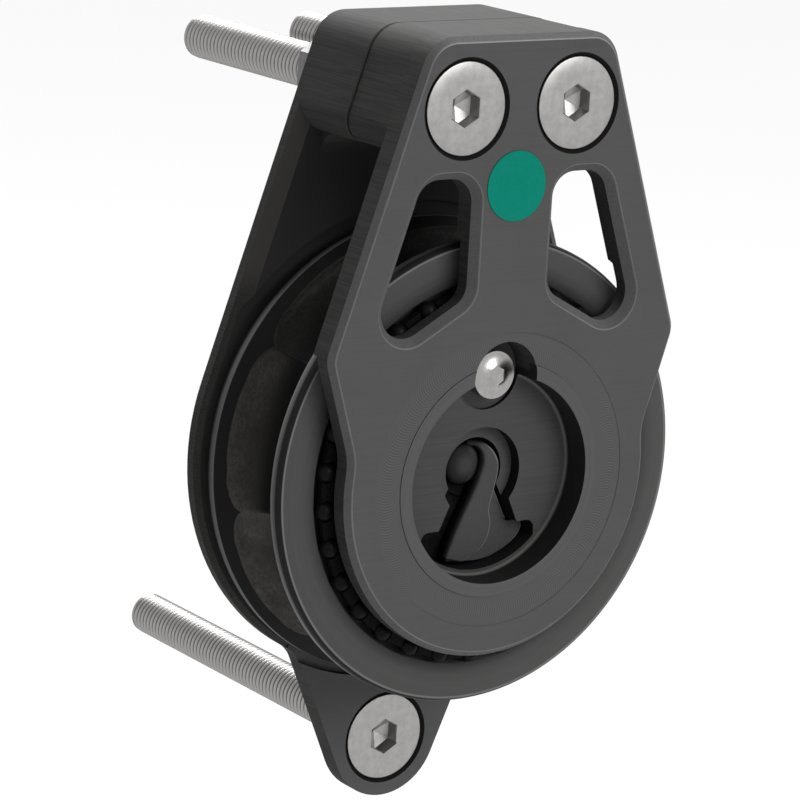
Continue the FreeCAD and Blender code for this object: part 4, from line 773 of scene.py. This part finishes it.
def lathe_head(mesh):
    """Rings for the socket, the face, the land and the cone, from the inside out."""
    rings = []
    for flats, height in ((SOCKET_FLATS, SOCKET_DEPTH), (SOCKET_FLATS, 0.22),
                          (SOCKET_FLATS + 0.4, 0.0)):
        rings.append(round_ring(mesh, lambda turn: hexagon_radius(turn, flats),
                                lambda turn: height))
    for radius, height in ((6.6, 0.0), (HEAD_RADIUS - 0.25, 0.0), (HEAD_RADIUS - 0.07, 0.07),
                           (HEAD_RADIUS, 0.25), (HEAD_RADIUS, HEAD_LAND),
                           (NECK_RADIUS, HEAD_LAND + HEAD_RADIUS - NECK_RADIUS)):
        rings.append(round_ring(mesh, lambda turn: radius, lambda turn: height))
    for number, (first, second) in enumerate(zip(rings, rings[1:])):
        join_loops(mesh, first, second, smooth=number > 2)
    bottom = mesh.verts.new((0, (SOCKET_DEPTH + SOCKET_TIP) * MM, 0))
    for number in range(SIDES):
        mesh.faces.new((bottom, rings[0][number], rings[0][(number + 1) % SIDES]))
    return rings[-1]


# %% [markdown]
# The thread starts where the screw leaves its nut, and its tip is rounded. At both ends the
# rings would stand out past the end, so their heights are held there and their radius is
# kept inside the rounded tip. The points that meet are merged afterwards.


# %% Cut the thread
def cut_thread(mesh, last_ring, start):
    """Rings that climb as they go round, from the start to the rounded tip."""
    rings = [last_ring, round_ring(mesh, lambda turn: NECK_RADIUS, lambda turn: start)]
    climb_a_ring = THREAD_PITCH / RINGS_A_TURN
    count = int((SCREW_LENGTH - start) / climb_a_ring) + 3 * RINGS_A_TURN

    def height_of(step, turn):
        climb = start + (step - RINGS_A_TURN) * climb_a_ring + THREAD_PITCH * turn / math.tau
        return min(max(climb, start), SCREW_LENGTH)

    def radius_of(step, turn):
        height = height_of(step, turn)
        in_root = step % RINGS_A_TURN >= RINGS_A_TURN / 2
        radius = THREAD_RADIUS - THREAD_HEIGHT if in_root else THREAD_RADIUS
        from_tip = min(SCREW_LENGTH - height, TIP_ROUND)
        inside = math.sqrt(max(TIP_ROUND ** 2 - (TIP_ROUND - from_tip) ** 2, 0.0))
        if height <= start:
            radius = NECK_RADIUS
        return min(radius, THREAD_RADIUS - TIP_ROUND + inside)

    for step in range(count):
        rings.append(round_ring(mesh, lambda turn: radius_of(step, turn),
                                lambda turn: height_of(step, turn)))
    for number, (first, second) in enumerate(zip(rings, rings[1:])):
        if number < 2:
            join_loops(mesh, first, second)
        else:
            join_helix(mesh, rings, number)
    return rings


def join_helix(mesh, rings, number):
    """Join two rings of the helix; the last side runs on to the ring one pitch up."""
    first, second = rings[number], rings[number + 1]
    above = number + RINGS_A_TURN
    for side in range(SIDES - 1):
        face = mesh.faces.new((first[side], second[side], second[side + 1], first[side + 1]))
        face.smooth = True
    if above + 1 < len(rings):
        face = mesh.faces.new((first[-1], second[-1], rings[above + 1][0], rings[above][0]))
        face.smooth = True


# %% Build the three screws
def mounting_screw(name, node, centre):
    """A threaded screw in the place of its CAD node, with its own axis as its origin."""
    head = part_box(node)[0].y
    start = NUT_REAR - head / MM
    mesh = bmesh.new()
    neck = lathe_head(mesh)
    rings = cut_thread(mesh, neck, start)
    end = mesh.verts.new((0, SCREW_LENGTH * MM, 0))
    for side in range(SIDES):
        mesh.faces.new((rings[-1][side], end, rings[-1][(side + 1) % SIDES]))
    place = (centre[0] * MM, head, centre[1] * MM)
    add_piece(name, mesh, screw_steel, "block", node, place)


for side, centre in SCREW_PLACES.items():
    mounting_screw("threaded_screw_" + side, "mounting_screw_" + side, centre)

# %% [markdown]
# The photograph is a catalogue picture on white. Camera, mirror and glass rays see the world
# as plain white, while the light on the block comes from a soft grey sky and two broad
# lamps. The sky is brightest up in front of the block, to its right.

# %% World
SKY = 0.55
SKY_AXIS = (0.38, -0.52, 0.76)
SKY_RISE = (-0.1, 0.85)


def white_for_eyes(start):
    """1 for the rays that should see the white background."""
    seen = [start.node("ShaderNodeLightPath", out=ray)
            for ray in ("Is Camera Ray", "Is Glossy Ray", "Is Transmission Ray")]
    return start.math("MINIMUM", seen[0] + seen[1] + seen[2], 1.0)


world = bpy.data.worlds.new("studio")
bpy.context.scene.world = world
world.use_nodes = True
world.node_tree.nodes.clear()
start = Wire(world.node_tree)
way = start.node("ShaderNodeTexCoord", out="Generated")
toward = start.node("ShaderNodeVectorMath", {"operation": "DOT_PRODUCT"},
                    {0: way, 1: SKY_AXIS}, out="Value")
sky = start.node("ShaderNodeBackground", None,
                 {"Color": grey(1.0), "Strength": toward.rise(*SKY_RISE) * SKY})
backdrop = start.node("ShaderNodeBackground", None, {"Color": grey(1.0), "Strength": 1.0})
both = start.node("ShaderNodeMixShader", None, {0: white_for_eyes(start), 1: sky, 2: backdrop})
start.node("ShaderNodeOutputWorld", None, {"Surface": both})
print("sky strength up to", SKY)

# %% [markdown]
# The floor is a plain pale sheet, well below the block, and its matt part catches a faint
# shadow. For the rays that see the white world most of it glows, so that the two melt
# together.

# %% Floor
FLOOR_HEIGHT, FLOOR_REACH = -0.15, 4.0
FLOOR_GLOW = 0.93

sheet = bmesh.new()
bmesh.ops.create_grid(sheet, x_segments=8, y_segments=8, size=FLOOR_REACH)
floor_mesh = bpy.data.meshes.new("floor")
sheet.to_mesh(floor_mesh)
sheet.free()
floor = bpy.data.objects.new("floor", floor_mesh)
floor.location = (0, 0, FLOOR_HEIGHT)
bpy.context.scene.collection.objects.link(floor)

paper = bpy.data.materials.new("pale_paper")
paper.use_nodes = True
paper.node_tree.nodes.clear()
start = Wire(paper.node_tree)
matt = start.node("ShaderNodeBsdfDiffuse", None, {"Color": grey(0.5)})
glow = start.node("ShaderNodeEmission", None, {"Color": grey(1.0), "Strength": 1.0})
both = start.node("ShaderNodeMixShader", None,
                  {0: white_for_eyes(start) * FLOOR_GLOW, 1: matt, 2: glow})
start.node("ShaderNodeOutputMaterial", None, {"Surface": both})
floor_mesh.materials.append(paper)
print("floor at", FLOOR_HEIGHT, "m")

# %% [markdown]
# One lamp stands in front and to the right, and one over and behind the block. The second
# lights the tops and leaves the space between the cheeks dark.


# %% Lamps
def lamp(name, place, target, size, power):
    """A square area lamp that points at a target."""
    light = bpy.data.lights.new(name, "AREA")
    light.size, light.energy = size, power
    holder = bpy.data.objects.new(name, light)
    holder.location = place
    holder.rotation_euler = (Vector(target) - Vector(place)).to_track_quat("-Z", "Y").to_euler()
    bpy.context.scene.collection.objects.link(holder)


AIM = (0.0, -0.02, 0.01)
lamp("front_lamp", (0.35, -1.1, 0.6), AIM, 0.8, 7.8)
lamp("top_lamp", (0.25, 0.5, 1.0), AIM, 0.9, 40.0)
print("lamps:", [light.name for light in bpy.data.lights])

# %% [markdown]
# The camera stands where the photographer's did: about 35 degrees to the left of the front
# and 14 degrees above, with a long lens that keeps the cheeks nearly parallel. Its place,
# tilt and lens come from matching the CAD's edges to the picture's.

# %% Camera
CAMERA_PLACE = (-0.4595, -0.6574, 0.2003)
AZIMUTH, ELEVATION, ROLL = (math.radians(angle) for angle in (-35.12, 13.92, 3.15))
LENS, SHIFT = 165.6, (0.0049, 0.0348)

camera_data = bpy.data.cameras.new("camera")
camera_data.lens = LENS
camera_data.sensor_width = 36.0
camera_data.shift_x, camera_data.shift_y = SHIFT
camera = bpy.data.objects.new("camera", camera_data)
bpy.context.scene.collection.objects.link(camera)
forward = Vector((-math.sin(AZIMUTH) * math.cos(ELEVATION), math.cos(AZIMUTH) * math.cos(ELEVATION),
                  -math.sin(ELEVATION)))
level = forward.cross(Vector((0, 0, 1))).normalized()
upright = level.cross(forward)
right = math.cos(ROLL) * level + math.sin(ROLL) * upright
up = math.cos(ROLL) * upright - math.sin(ROLL) * level
turn = Matrix((right, up, -forward)).transposed().to_4x4()
camera.matrix_world = Matrix.Translation(CAMERA_PLACE) @ turn
bpy.context.scene.camera = camera
bpy.context.scene.view_settings.view_transform = "Standard"
print("camera looks along", [round(part, 3) for part in forward])
